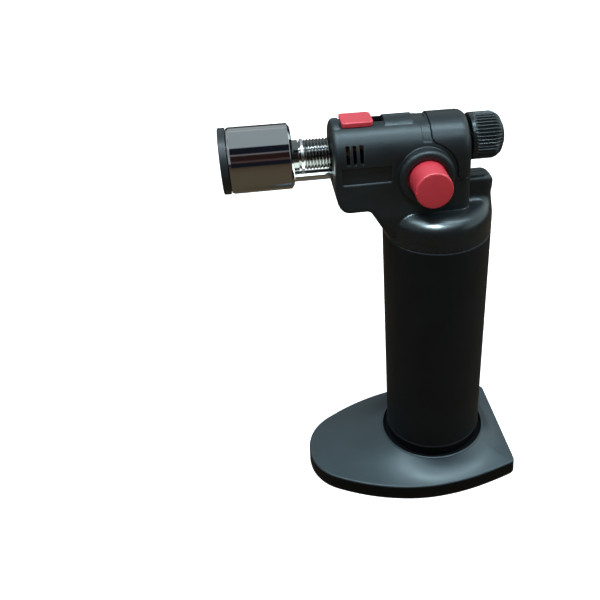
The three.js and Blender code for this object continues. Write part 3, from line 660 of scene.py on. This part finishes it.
def skin(name, rings, first, last):
    """Closes a stack of rings into one body between two centre points."""
    count = len(rings[0])
    vertices = [tuple(p) for ring in rings for p in ring] + [first, last]
    faces = []
    top, bottom = len(vertices) - 2, len(vertices) - 1
    for k in range(count):
        n = (k + 1) % count
        faces.append((top, k, n))
        for ring in range(len(rings) - 1):
            a, b = ring * count, (ring + 1) * count
            faces.append((a + k, b + k, b + n, a + n))
        end = (len(rings) - 1) * count
        faces.append((bottom, end + n, end + k))
    obj = new_object(name, vertices, faces)
    turn_outwards(obj)
    return obj


def make_stand():
    """One skin, from the socket's floor out over the top and rim to the hollow underneath."""
    outline = stand_outline()
    rim_z, wall = 7.6, 2.4
    socket_top = STAND_HIGH[2]
    rim_r, socket_r, foot_r = 24.2, 23.2, 20.3
    ledge_z, floor_z = 12.4, 8.0

    def ring(distance, share, radius, z):
        """The outline, moved inwards and then drawn by a share (0-1) towards a circle."""
        edge = inset(outline, distance)
        circle = edge / np.linalg.norm(edge, axis=1, keepdims=True) * radius
        flat = edge + (circle - edge) * share
        return np.column_stack([flat, np.full(len(flat), z)])

    def dome(share, low, high):
        """Height of the top, which steepens towards the socket."""
        return low + (high - low) * (0.5 * share + 0.5 * share**2.6)

    rings = [ring(0, 1, foot_r - 0.3, floor_z), ring(0, 1, foot_r, floor_z + 0.3)]
    rings += [ring(0, 1, foot_r, ledge_z - 0.2), ring(0, 1, foot_r + 0.2, ledge_z)]
    rings += [ring(0, 1, socket_r - 0.3, ledge_z), ring(0, 1, socket_r, ledge_z + 0.3)]
    lip = 0.5
    for k in range(9):
        angle = math.pi * k / 8
        rings.append(ring(0, 1, socket_r + lip - lip * math.cos(angle),
                          socket_top - lip + lip * math.sin(angle)))
    for share in np.linspace(0.985, 0.03, 34):
        rings.append(ring(1.0, share, rim_r, dome(share, rim_z, socket_top - 0.5)))
    for k in range(7):
        angle = math.pi / 2 * k / 6
        rings.append(ring(1.0 - 0.8 * math.sin(angle), 0, 1, rim_z - 1.0 + math.cos(angle)))
    rings += [ring(0.1, 0, 1, 3.5), ring(0, 0, 1, 0.5), ring(0.25, 0, 1, 0)]
    rings += [ring(wall - 0.2, 0, 1, 0), ring(wall, 0, 1, 0.3)]
    for share in np.linspace(0, 0.96, 14):
        rings.append(ring(wall, share, rim_r + 1.6, dome(share, rim_z - wall, socket_top - 3)))
    rings += [ring(0, 1, rim_r + 1.6, socket_top - 3.2), ring(0, 1, rim_r + 1.6, floor_z - 2.2)]
    obj = skin("stand_body", rings, (0, 0, floor_z), (0, 0, floor_z - 2.2))
    dress(obj, "stand", "stand_plastic", "stand_shell")


# ---------------------------------------- tank


def make_tank():
    """Plain cylinder over a turned-in foot, with a room for the fuel and a valve hole."""
    low, high = TANK_LOW[2], TANK_HIGH[2]
    foot_r, foot_top = 20, low + 8.9
    bead_r = 21.7
    room_r, room_floor = 19.7, 15.4
    valve_r, base_room_r, base_room_top = 4.6, 18.2, 12.2
    obj = turned("tank_body", "z", [
        (base_room_r, low, 0.3), (foot_r, low, 0.4), (foot_r, foot_top, 0.2),
        (bead_r - 0.5, foot_top, 0.3), (bead_r, foot_top + 0.5, 0.35),
        (bead_r, foot_top + 1.1, 0.3), (bead_r - 0.3, foot_top + 1.5, 0.4),
        (TANK_R, high - 0.6, 0.3), (TANK_R - 0.5, high, 0.3),
        (room_r + 0.5, high, 0.2), (room_r, room_floor + 4.6, 1),
        (room_r - 2.2, room_floor, 0.5), (valve_r, room_floor, 0.1),
        (valve_r, base_room_top, 0.2), (base_room_r, base_room_top, 0.5),
    ], closed=True, segments=192)
    dress(obj, "torch", "tank_plastic", "tank_shell")


# ---------------------------------------- housing

CHIN_Z, NECK_Z = 135.9, 123.4  # undersides of the head's front and of the neck
OPEN_Z = HEAD_AXIS_Z + 30  # above everything: the arch gives the head's top
SIDE_OUTLINE = (
    [(HEAD_FRONT_X, OPEN_Z), (HEAD_FRONT_X, 146)]
    + bezier((HEAD_FRONT_X, 146), (HEAD_FRONT_X, CHIN_Z), (-36, CHIN_Z))
    + [(-30, CHIN_Z)]
    + bezier((-30, CHIN_Z), (-28.6, CHIN_Z), (-27.8, CHIN_Z - 1.5), count=4)
    + [(-21.4, NECK_Z), (HEAD_REAR_X, NECK_Z), (HEAD_REAR_X, OPEN_Z)]
)
WALL = 2
ROOM_FLOOR_Z = 138
HUMP_TOP_Z = 143.3
HUMP_HALF_WIDTH = 5.2
HUMP_FRONT_X = 8
NOTCH_FRONT_X, NOTCH_REAR_X = -10.7, -6
VENT_XS = (-36.2, -33.7, -31.2)
VENT_HALF_WIDTH = 0.65
SCREW_BOSS_R, SCREW_HOLE_R, SCREW_HEAD_R = 2.6, 1.4, 2.5


def smoothstep(value, low, high):
    t = np.clip((value - low) / (high - low), 0, 1)
    return t * t * (3 - 2 * t)


def collar_field(x, y, z):
    """Collar with its rounded shoulder, and the hump that rises from its rear wall."""
    hump = round_and(np.abs(y) - HUMP_HALF_WIDTH, z - HUMP_TOP_Z, 2.2)
    hump = np.maximum(hump, HUMP_FRONT_X - x)
    top = round_or(z - SHOULDER_Z, hump, 2.6)
    radius = 6 - 2.2 * smoothstep(z, SHOULDER_Z, SHOULDER_Z + 5)
    wall = round_and(np.hypot(x, y) - TANK_R, top, radius)
    return round_and(wall, SEAM_Z - z, 0.35)


def crest_field(x, y, z):
    """Raised top of the head: in front of the slider, and between its slot and the notch."""
    front = x - SLIDER_LOW[0] + 0.5
    reach = np.minimum(front, np.maximum(SLOT_REAR_X - x, x - NOTCH_FRONT_X))
    return round_and(np.hypot(y, z - CREST_Z) - CREST_R, reach, 0.3)


def housing_outer(x, y, z):
    """Outside of the whole housing: head, recess under the rear cover, collar and boss."""
    gap = 0.15
    side = outline_field(x, z, SIDE_OUTLINE)
    arch = np.minimum(arch_field(y, z, HEAD_R), crest_field(x, y, z))
    head = round_and(side, arch, 1.9)
    head = np.maximum(head, round_and(arch, x - HEAD_REAR_X, REAR_ROUND))
    clear = np.hypot(x - BUTTON_X, z - BUTTON_Z)
    band = np.maximum(COVER_LOW[0] - gap - x, COVER_LOW[2] - gap - z)
    band = round_and(band, COVER_CUT_R - gap - clear, 2)
    recess = np.maximum(band, -arch - 1.4)
    head = round_and(head, -recess, 0.2)
    solid = round_or(head, collar_field(x, y, z), 0.3)
    boss = rod_field("y", x, y, z, BOSS_R, BOSS_FACE_Y, -8, (BUTTON_X, BUTTON_Z), 1.8)
    return round_or(solid, boss, 0.3)


def housing_inner(x, y, z):
    """The rooms inside the housing, and the holes through its walls."""
    inner = HEAD_R - WALL
    rear_end = HEAD_REAR_X - 2.2
    front = np.maximum(HEAD_FRONT_X + WALL - x, x + 5.4)
    rear = np.maximum(-5.5 - x, x - rear_end)
    head_room = np.maximum(arch_field(y, z, inner), front)
    head_room = np.maximum(head_room, ROOM_FLOOR_Z - z)
    rear_room = np.maximum(arch_field(y, z, inner - 1.2), rear)
    rear_room = np.maximum(rear_room, ROOM_FLOOR_Z - z)
    neck_room = box_field(x, y, z, (-19.5, -8.8, 130), (rear_end, 8.8, 150))
    rooms = [
        head_room, rear_room, neck_room,
        rod_field("z", x, y, z, 16, 124.8, 131.5, (0, 0)),
        rod_field("z", x, y, z, 8.4, 110, 126, (0, 0)),
        rod_field("y", x, y, z, BOSS_BORE_R, BOSS_FACE_Y + 1.8, -7.5, (BUTTON_X, BUTTON_Z)),
        rod_field("y", x, y, z, BOSS_MOUTH_R, -40, -12, (BUTTON_X, BUTTON_Z)),
        rod_field("x", x, y, z, TUBE_R - 0.2, -50, -38, (0, HEAD_AXIS_Z)),
        rod_field("x", x, y, z, 2.3, -50, -35, (0, IGNITER_Z)),
        rod_field("x", x, y, z, 3.4, 5, 20, (0, KNOB_Z)),
    ]
    return np.minimum.reduce(rooms)


def housing_details(x, y, z):
    """Cuts in the outer skin: vents, slider slot, side panels, notch and band by the cover."""
    side = np.abs(y)
    cuts = []
    for at in VENT_XS:
        cuts.append(box_field(x, side, z, (at - VENT_HALF_WIDTH, 6, 155.8),
                              (at + VENT_HALF_WIDTH, 20, 162.6), 0.55))
    cuts.append(box_field(x, y, z, (-36.6, -2.5, 160), (SLOT_REAR_X, 2.5, 180), 0.6))
    cuts.append(box_field(x, side, z, (-38.6, HEAD_R - 0.7, 147.8), (-20.4, 20, 154.5), 0.2))
    cuts.append(box_field(x, y, z, (NOTCH_FRONT_X, -6.5, HEAD_AXIS_Z + HEAD_R - 0.7),
                          (NOTCH_REAR_X, 6.5, 190), 0.3))
    band = np.maximum(np.abs(x + 6.9) - 1.5, -0.14 - arch_field(y, z, HEAD_R))
    band = np.maximum(band, COVER_LOW[2] + 1 - z)
    cuts.append(np.maximum(band, COVER_CUT_R - np.hypot(x - BUTTON_X, z - BUTTON_Z)))
    return np.minimum.reduce(cuts)


SCREWS = [node_box(f"housing_screw_{k}") for k in (1, 2, 3)]


def housing_field(side):
    """Field of one half: side -1 is the right half and 1 the left, with the screws' heads."""
    def field(x, y, z):
        solid = round_and(housing_outer(x, y, z), -housing_inner(x, y, z), 0.4)
        solid = round_and(solid, -housing_details(x, y, z), 0.15)
        for low, high in SCREWS:
            at = ((low[0] + high[0]) / 2, (low[2] + high[2]) / 2)
            if side > 0:
                boss = rod_field("y", x, y, z, SCREW_BOSS_R, PARTING, 11, at)
                hole = np.minimum(rod_field("y", x, y, z, SCREW_HOLE_R, -9, 20, at),
                                  rod_field("y", x, y, z, SCREW_HEAD_R, 9.2, 20, at))
            else:
                boss = rod_field("y", x, y, z, SCREW_BOSS_R, -11, -PARTING, at)
                hole = rod_field("y", x, y, z, SCREW_HOLE_R, -9, 9, at)
            solid = round_and(np.minimum(solid, boss), -hole, 0.2)
        return round_and(solid, PARTING - y * side, 0.22)
    return field


def make_housing():
    """Both halves, with finer grid lines where the vents, slot, panels and seams are."""
    step = 0.5
    xs = span(HEAD_FRONT_X, TANK_R, step, (-38, -30.4), (-22.5, -20), (-9.5, -3.5))
    zs = span(SEAM_Z, HOUSING_HIGH[2], step, (147, 148.8), (153.6, 157.4), (162.4, 164),
              (167, 170))
    right = field_piece("housing_right_shell", housing_field(-1),
                        xs, span(-TANK_R, 0, step, (-12.5, -10.8), (-3.2, 0.5)), zs)
    dress(right, "torch", "housing_plastic", "housing_right")
    left = field_piece("housing_left_shell", housing_field(1),
                       xs, span(0, TANK_R, step, (-0.8, 3.2), (10.8, 12.5)), zs)
    dress(left, "torch", "housing_plastic", "housing_left")


def cover_field(x, y, z):
    """Saddle over the head's rear, cut short around the button."""
    inner_r = 10.8
    outer = round_and(arch_field(y, z, COVER_R), x - HEAD_REAR_X, REAR_ROUND)
    band = round_and(COVER_LOW[0] - x, COVER_LOW[2] - z, 0.8)
    clear = np.hypot(x - BUTTON_X, z - BUTTON_Z)
    band = round_and(band, COVER_CUT_R - clear, 2)
    solid = round_and(outer, band, 0.45)
    return round_and(solid, -arch_field(y, z, inner_r), 0.15)


def make_cover():
    step = 0.4
    obj = boxed_piece("rear_cover_shell", cover_field, COVER_LOW, COVER_HIGH, step)
    dress(obj, "torch", "housing_plastic", "rear_cover")


def slider_field(x, y, z):
    """Thumb piece that follows the head's top, with a stem through the slot and a foot."""
    low, high = SLIDER_LOW, SLIDER_HIGH
    side = np.abs(y) - high[1]
    crown = box_field(x, y, z, (low[0], low[1], 160), high, 0.5)
    corners = np.maximum(round_and(x - high[0], side, 2.2), round_and(low[0] - x, side, 1.2))
    crown = round_and(crown, corners, 0.4)
    under = np.hypot(y, z - HEAD_AXIS_Z) - HEAD_R - 0.2
    crown = round_and(crown, -under, 0.2)
    stem_front = low[0] + 1.3
    stem = box_field(x, y, z, (stem_front, -2.2, 164), (-27.4, 2.2, high[2] - 1))
    foot = box_field(x, y, z, (stem_front, -4, low[2]), (-28, 4, low[2] + 1.4), 0.2)
    return np.minimum(np.minimum(crown, stem), foot)


def make_slider():
    step = 0.22
    obj = boxed_piece("flame_lock_slider", slider_field, SLIDER_LOW, SLIDER_HIGH, step)
    dress(obj, "flame_lock", "red_plastic", "lock_slider")


# ---------------------------------------- ignition


def make_button():
    """Hollow cap with a flange at its back, and the finger that pushes the valve lever."""
    face, flange, back = BUTTON_FACE_Y, -13.4, -11.4
    flange_r, bore_r = 8.5, 5.5
    cap = turned("button_cap", "y", [
        (0, face), (BUTTON_R, face, 0.8), (BUTTON_R, flange, 0.3), (flange_r, flange, 0.3),
        (flange_r, back, 0.3), (bore_r, back, 0.3), (bore_r, face + 2, 0.5), (0, face + 2),
    ], centre=(BUTTON_X, 0, BUTTON_Z), segments=144)
    finger = rounded_box("button_finger",
                         (BUTTON_X - 1.4, -12.6, BUTTON_Z - 7.2),
                         (BUTTON_X + 3.4, BUTTON_HIGH[1], BUTTON_Z - 5.7), 0.25)
    dress(join("button_cap", cap, finger), "button", "red_plastic", "ignition_button")


# ---------------------------------------- gas knob


def make_knob():
    """Domed knob, with ribs that fade in behind its front edge and out on the dome."""
    ribs, per_rib, rib_height = 40, 10, 0.7
    front, end = KNOB_LOW[0], KNOB_HIGH[0]
    rib_start, rib_end = front + 1.4, end - 3.4

    def groove(along, turn):
        shown = smoothstep(along, rib_start, rib_start + 1.0)
        shown = shown * (1 - smoothstep(along, rib_end, rib_end + 1.6))
        wave = 0.5 - 0.5 * math.cos(2 * math.pi * ribs * turn)
        return -rib_height * shown * wave**1.2

    straight = [(KNOB_R, x) for x in np.arange(rib_start + 0.2, end - 6, 0.5)]
    obj = turned("gas_knob_cap", "x", [
        (0, front), (KNOB_R - 0.2, front, 0.5), (KNOB_R, front + 1, 0.4), *straight,
        (KNOB_R, end - 3.9, 3.4), (KNOB_R - 1.5, end - 1.5, 2),
        (KNOB_R - 4.4, end, 1.8), (0, end),
    ], centre=(0, 0, KNOB_Z), segments=ribs * per_rib, steps=8, relief=groove, smooth_angle=60)
    dress(obj, "knob", "knob_plastic", "gas_knob")


# ---------------------------------------- burner

HEAD_CENTRE = (0, 0, HEAD_AXIS_Z)


def make_burner_tube():
    """Tube with a helical thread between the guard's nut and the head."""
    pitch, ridge = 1.2, 0.5
    base, bore_r = TUBE_R - ridge, 3.6
    shoulder_r, shoulder_x = 4.6, -52.8
    start, end, run_out = -51.1, HEAD_FRONT_X - 0.3, 0.6

    def thread(along, turn):
        height = max(0, min(1, (along - start) / run_out, (end - along) / run_out))
        wave = 0.5 - 0.5 * math.cos(2 * math.pi * (along / pitch - turn))
        return ridge * height * wave**0.7

    obj = turned("burner_tube_threaded", "x", [
        (shoulder_r - 0.1, TUBE_LOW[0]), (shoulder_r, TUBE_LOW[0] + 0.01),
        (shoulder_r, shoulder_x), (base, shoulder_x + 0.01),
        *((base, x) for x in np.arange(start, end, pitch / 10)),
        (base, end + 0.4), (base, TUBE_HIGH[0]), (bore_r, TUBE_HIGH[0]), (bore_r, TUBE_LOW[0]),
    ], centre=HEAD_CENTRE, segments=96, closed=True, relief=thread, smooth_angle=50)
    dress(obj, "torch", "dark_chrome", "burner_tube")


def make_guard():
    """Barrel, its front ring, and the nut and washer that hold it on the burner tube."""
    front, rear = GUARD_LOW[0], GUARD_HIGH[0]
    tube_hole_r = 4.9
    guard = turned("flame_guard_barrel", "x", [
        (GUARD_R - 0.9, front, 0.1), (GUARD_R - 0.45, front, 0.1), (GUARD_R, front + 0.9, 0.3),
        (GUARD_R, rear - 0.5, 0.25), (GUARD_R - 1.3, rear + 0.5, 0.5), (7.2, rear + 0.8, 0.4),
        (6.8, rear, 0.2), (tube_hole_r, rear, 0.2),
        (tube_hole_r, rear - 1.2, 0.2), (GUARD_R - 0.8, rear - 1.2, 0.6),
    ], centre=HEAD_CENTRE, segments=192, closed=True)
    dress(guard, "torch", "guard_chrome", "flame_guard")
    start, end = RING_LOW[0], RING_HIGH[0]
    lip_r, plug_r = GUARD_R - 1.8, GUARD_R - 1.1
    ring = turned("guard_lip_ring", "x", [
        (lip_r, start, 0.3), (GUARD_R, start, 0.5), (GUARD_R, front - 0.3, 0.2),
        (plug_r, front - 0.3, 0.05), (plug_r, end, 0.1), (lip_r, end, 0.3),
    ], centre=HEAD_CENTRE, segments=192, closed=True)
    dress(ring, "torch", "ring_plastic", "guard_front_ring")
    nut = turned("guard_lock_nut", "x", sleeve(tube_hole_r, 5.6, NUT_LOW[0], NUT_HIGH[0]),
                 centre=HEAD_CENTRE, segments=96, closed=True)
    dress(nut, "torch", "dark_chrome", "guard_nut")
    washer = turned("guard_spring_washer", "x", sleeve(5.3, 5.9, WASHER_LOW[0], WASHER_HIGH[0]),
                    centre=HEAD_CENTRE, segments=96, closed=True)
    dress(washer, "torch", "steel", "guard_washer")
    nozzle = turned("burner_nozzle", "x", [
        (tube_hole_r, BURNER_LOW[0], 0.2), (6.6, BURNER_LOW[0], 0.5), (6.6, -64, 0.4),
        (5.3, BURNER_HIGH[0], 0.3), (tube_hole_r, BURNER_HIGH[0], 0.1),
    ], centre=HEAD_CENTRE, segments=96, closed=True)
    dress(nozzle, "torch", "steel", "burner_head")


def holder_field(x, y, z):
    """Disc with a middle hole and two rings of holes for the gas."""
    hole_r = 0.5
    radius = (HOLDER_HIGH[2] - HOLDER_LOW[2]) / 2
    disc = rod_field("x", x, y, z, radius, HOLDER_LOW[0], HOLDER_HIGH[0], (0, HEAD_AXIS_Z), 0.3)
    holes = []
    for ring_r, count in ((0, 1), (1.6, 6), (3.1, 11)):
        for k in range(count):
            angle = 2 * math.pi * k / count
            across, up = ring_r * math.cos(angle), ring_r * math.sin(angle)
            holes.append(np.hypot(y - across, z - HEAD_AXIS_Z - up) - hole_r)
    return round_and(disc, -np.minimum.reduce(holes), 0.12)


def make_flame_holder():
    step = 0.18
    obj = boxed_piece("flame_holder_disc", holder_field, HOLDER_LOW, HOLDER_HIGH, step)
    dress(obj, "torch", "white_ceramic", "flame_holder")


def make_igniter():
    """Plated tube that carries the igniter's wire from the head to the guard."""
    radius, bore_r = (IGNITER_HIGH[2] - IGNITER_LOW[2]) / 2, 1.5
    obj = turned("igniter_conduit", "x",
                 sleeve(bore_r, radius, IGNITER_LOW[0], IGNITER_HIGH[0], edge=0.2),
                 centre=(0, 0, IGNITER_Z), segments=64, closed=True)
    dress(obj, "torch", "guard_chrome", "igniter_tube", material="zinc_plate")


# ---------------------------------------- carried-over CAD nodes


def finish_cad_nodes():
    """Gives every CAD node that still shows its material."""
    for part in frame["record"]["subparts"]:
        obj = frame["nodes"][part["node"]]
        if not obj.hide_render:
            obj.data.materials.clear()
            obj.data.materials.append(MATERIALS[part["material_slot"]])


# ---------------------------------------- studio

FAR_LIGHT = (0.79, 0.95, 0.97)
LAMP_LIGHT = (0.74, 0.9, 1.0)
WHITE = (1, 1, 1, 1)
NAVY, MAROON = (0.012, 0.015, 0.024), (0.034, 0.017, 0.016)
SHELF, PALE_EDGE = (0.11, 0.07, 0.066), (0.26, 0.25, 0.27)
ROOM_STRIPES = [
    (0.0, NAVY), (0.2, NAVY), (0.25, SHELF), (0.31, SHELF), (0.36, MAROON), (0.59, MAROON),
    (0.63, PALE_EDGE), (0.655, PALE_EDGE), (0.69, NAVY), (1.0, NAVY),
]
WALL_LIGHT, RIGHT_LIGHT, LEFT_LIGHT = 0.6, 1.5, 0.5
WALL_SLOPE = (0.899, 0.438)  # y and z of the direction that the wall behind the torch is in


def make_world(scene):
    """A dark striped room with bright walls behind and beside the torch.

    The camera itself sees it as plain white.
    """
    world = bpy.data.worlds.new("studio")
    scene.world = world
    n = Nodes(world)
    x, y, z = n.split("Generated")
    behind = n.math("ADD", n.math("MULTIPLY", y, WALL_SLOPE[0]),
                    n.math("MULTIPLY", z, WALL_SLOPE[1]))
    wall = n.math("MULTIPLY", n.smooth(behind, -0.02, 0.04), n.smooth(z, 0.12, 0.36))
    narrow = n.math("SUBTRACT", 1, n.smooth(n.math("ABSOLUTE", x), 0.55, 0.8))
    wall = n.math("MULTIPLY", wall, narrow)
    low = n.math("MULTIPLY", n.smooth(z, 0.02, 0.12),
                 n.math("SUBTRACT", 1, n.smooth(z, 0.7, 0.85)))
    right = n.math("MULTIPLY", n.smooth(x, 0.62, 0.75), low)
    left = n.math("MULTIPLY", n.smooth(n.math("MULTIPLY", x, -1), 0.62, 0.75), low)
    amount = n.math("MULTIPLY", wall, WALL_LIGHT)
    for patch, light in ((right, RIGHT_LIGHT), (left, LEFT_LIGHT)):
        amount = n.math("ADD", amount, n.math("MULTIPLY", patch, light))
    walls = n.add("ShaderNodeVectorMath", ("operation", "SCALE"))
    walls.inputs[0].default_value = FAR_LIGHT
    n.link(amount, walls.inputs["Scale"])
    room = n.add("ShaderNodeVectorMath", ("operation", "ADD"))
    n.link(walls.outputs[0], room.inputs[0])
    n.link(n.ramp(z, *ROOM_STRIPES), room.inputs[1])
    reflected = n.add("ShaderNodeBackground")
    n.link(room.outputs[0], reflected.inputs["Color"])
    n.output("ShaderNodeOutputWorld", reflected, n.add("ShaderNodeBackground", Color=WHITE))


def make_floor():
    """White to the camera, but a brown bench top in what the torch reflects."""
    size = 6000
    floor = new_object("floor", [(-size, -size, 0), (size, -size, 0), (size, size, 0),
                                 (-size, size, 0)], [(0, 1, 2, 3)])
    material = bpy.data.materials.new("floor_paper")
    floor.data.materials.append(material)
    n = Nodes(material)
    bench = n.add("ShaderNodeBsdfPrincipled", Base_Color=(0.09, 0.065, 0.042, 1), Roughness=1,
                  Specular_IOR_Level=0, Emission_Color=(0.042, 0.03, 0.019, 1),
                  Emission_Strength=1)
    paper = n.add("ShaderNodeBsdfDiffuse", Color=(0.85, 0.85, 0.85, 1))
    glow = n.add("ShaderNodeEmission", Color=WHITE, Strength=0.85)
    seen = n.add("ShaderNodeAddShader")
    n.link(paper.outputs[0], seen.inputs[0])
    n.link(glow.outputs[0], seen.inputs[1])
    n.output("ShaderNodeOutputMaterial", bench, seen)


def area_light(name, place, target, size, radiance, colour):
    """A rectangular lamp, set by the brightness of its face."""
    data = bpy.data.lights.new(name, "AREA")
    data.shape = "RECTANGLE"
    data.size, data.size_y = size
    data.energy = radiance * math.pi * size[0] * size[1]
    data.color = colour
    obj = bpy.data.objects.new(name, data)
    bpy.context.scene.collection.objects.link(obj)
    obj.location = place
    direction = Vector(target) - Vector(place)
    obj.rotation_euler = direction.to_track_quat("-Z", "Y").to_euler()
    return obj


def spare(lamp, *names):
    """Keeps a lamp's light off some objects."""
    spared = bpy.data.collections.new(lamp.name + "_spares")
    for name in names:
        spared.objects.link(bpy.data.objects[name])
    for linked in spared.collection_objects:
        linked.light_linking.link_state = "EXCLUDE"
    lamp.light_linking.receiver_collection = spared


def bounce_card():
    """Small glowing card, seen only in reflections, under the near side of the burner tube."""
    bend = [(-5, 150.5), (-8, 150.5), (-8, 154.5)]
    vertices = [(x, y, z) for y, z in bend for x in (-56, -43)]
    card = new_object("bounce_card", vertices, [(0, 1, 3, 2), (2, 3, 5, 4)])
    material = bpy.data.materials.new("bounce_paper")
    card.data.materials.append(material)
    n = Nodes(material)
    n.output("ShaderNodeOutputMaterial",
             n.add("ShaderNodeEmission", Color=(0.86, 1, 0.95, 1), Strength=4.0))
    card.visible_camera = False
    card.visible_diffuse = False
    card.visible_shadow = False


def make_lamps():
    """Two strips overhead, a soft fill from the front, and a spot on the collar's shoulder."""
    aim = (-0.02, 0, 0.12)
    overhead = area_light("lamp", (-0.02, -0.13, 0.78), aim, (1.1, 0.06), 32, LAMP_LIGHT)
    front = area_light("front_lamp", (-0.02, -0.46, 0.74), aim, (1.0, 0.1), 9, LAMP_LIGHT)
    front.visible_diffuse = False
    for lamp in (overhead, front):
        spare(lamp, "flame_guard_barrel", "guard_lock_nut")
    fill = area_light("fill", (-0.1, -1.3, 0.5), (0, 0, 0.12), (1.2, 0.7), 1.25, (1, 0.95, 0.9))
    fill.visible_glossy = False
    kicker = area_light("kicker", (-0.024, -0.073, 0.213), (-0.002, -0.019, 0.123),
                        (0.08, 0.014), 6, (0.78, 0.93, 1.0))
    kicker.data.spread = math.radians(21)
    kicker.visible_camera = False
    kicker.visible_diffuse = False
    spare(kicker, "button_cap", "tank_body")


def make_studio():
    scene = bpy.context.scene
    scene.view_settings.view_transform = "Standard"
    make_world(scene)
    make_floor()
    make_lamps()
    bounce_card()


def make_camera():
    """Close camera, above and slightly to the left of the button's side."""
    azimuth, pitch = math.radians(-12.108), math.radians(32.028)
    back = Vector((math.sin(azimuth) * math.cos(pitch), -math.cos(azimuth) * math.cos(pitch),
                   math.sin(pitch)))
    right = Vector((math.cos(azimuth), math.sin(azimuth), 0))
    up = back.cross(right)
    data = bpy.data.cameras.new("camera")
    data.sensor_width = 36
    data.lens = 45.526
    data.shift_x = -0.1786
    data.shift_y = -0.0569
    data.clip_start, data.clip_end = 0.01, 50
    camera = bpy.data.objects.new("camera", data)
    matrix = Matrix((right, up, back)).transposed().to_4x4()
    matrix.translation = Vector((-68.08, -260.60, 269.89)) * MM
    camera.matrix_world = matrix
    bpy.context.scene.collection.objects.link(camera)
    bpy.context.scene.camera = camera


make_camera()
make_stand()
make_tank()
make_housing()
make_cover()
make_slider()
make_button()
make_knob()
make_burner_tube()
make_guard()
make_flame_holder()
make_igniter()
finish_cad_nodes()
make_studio()
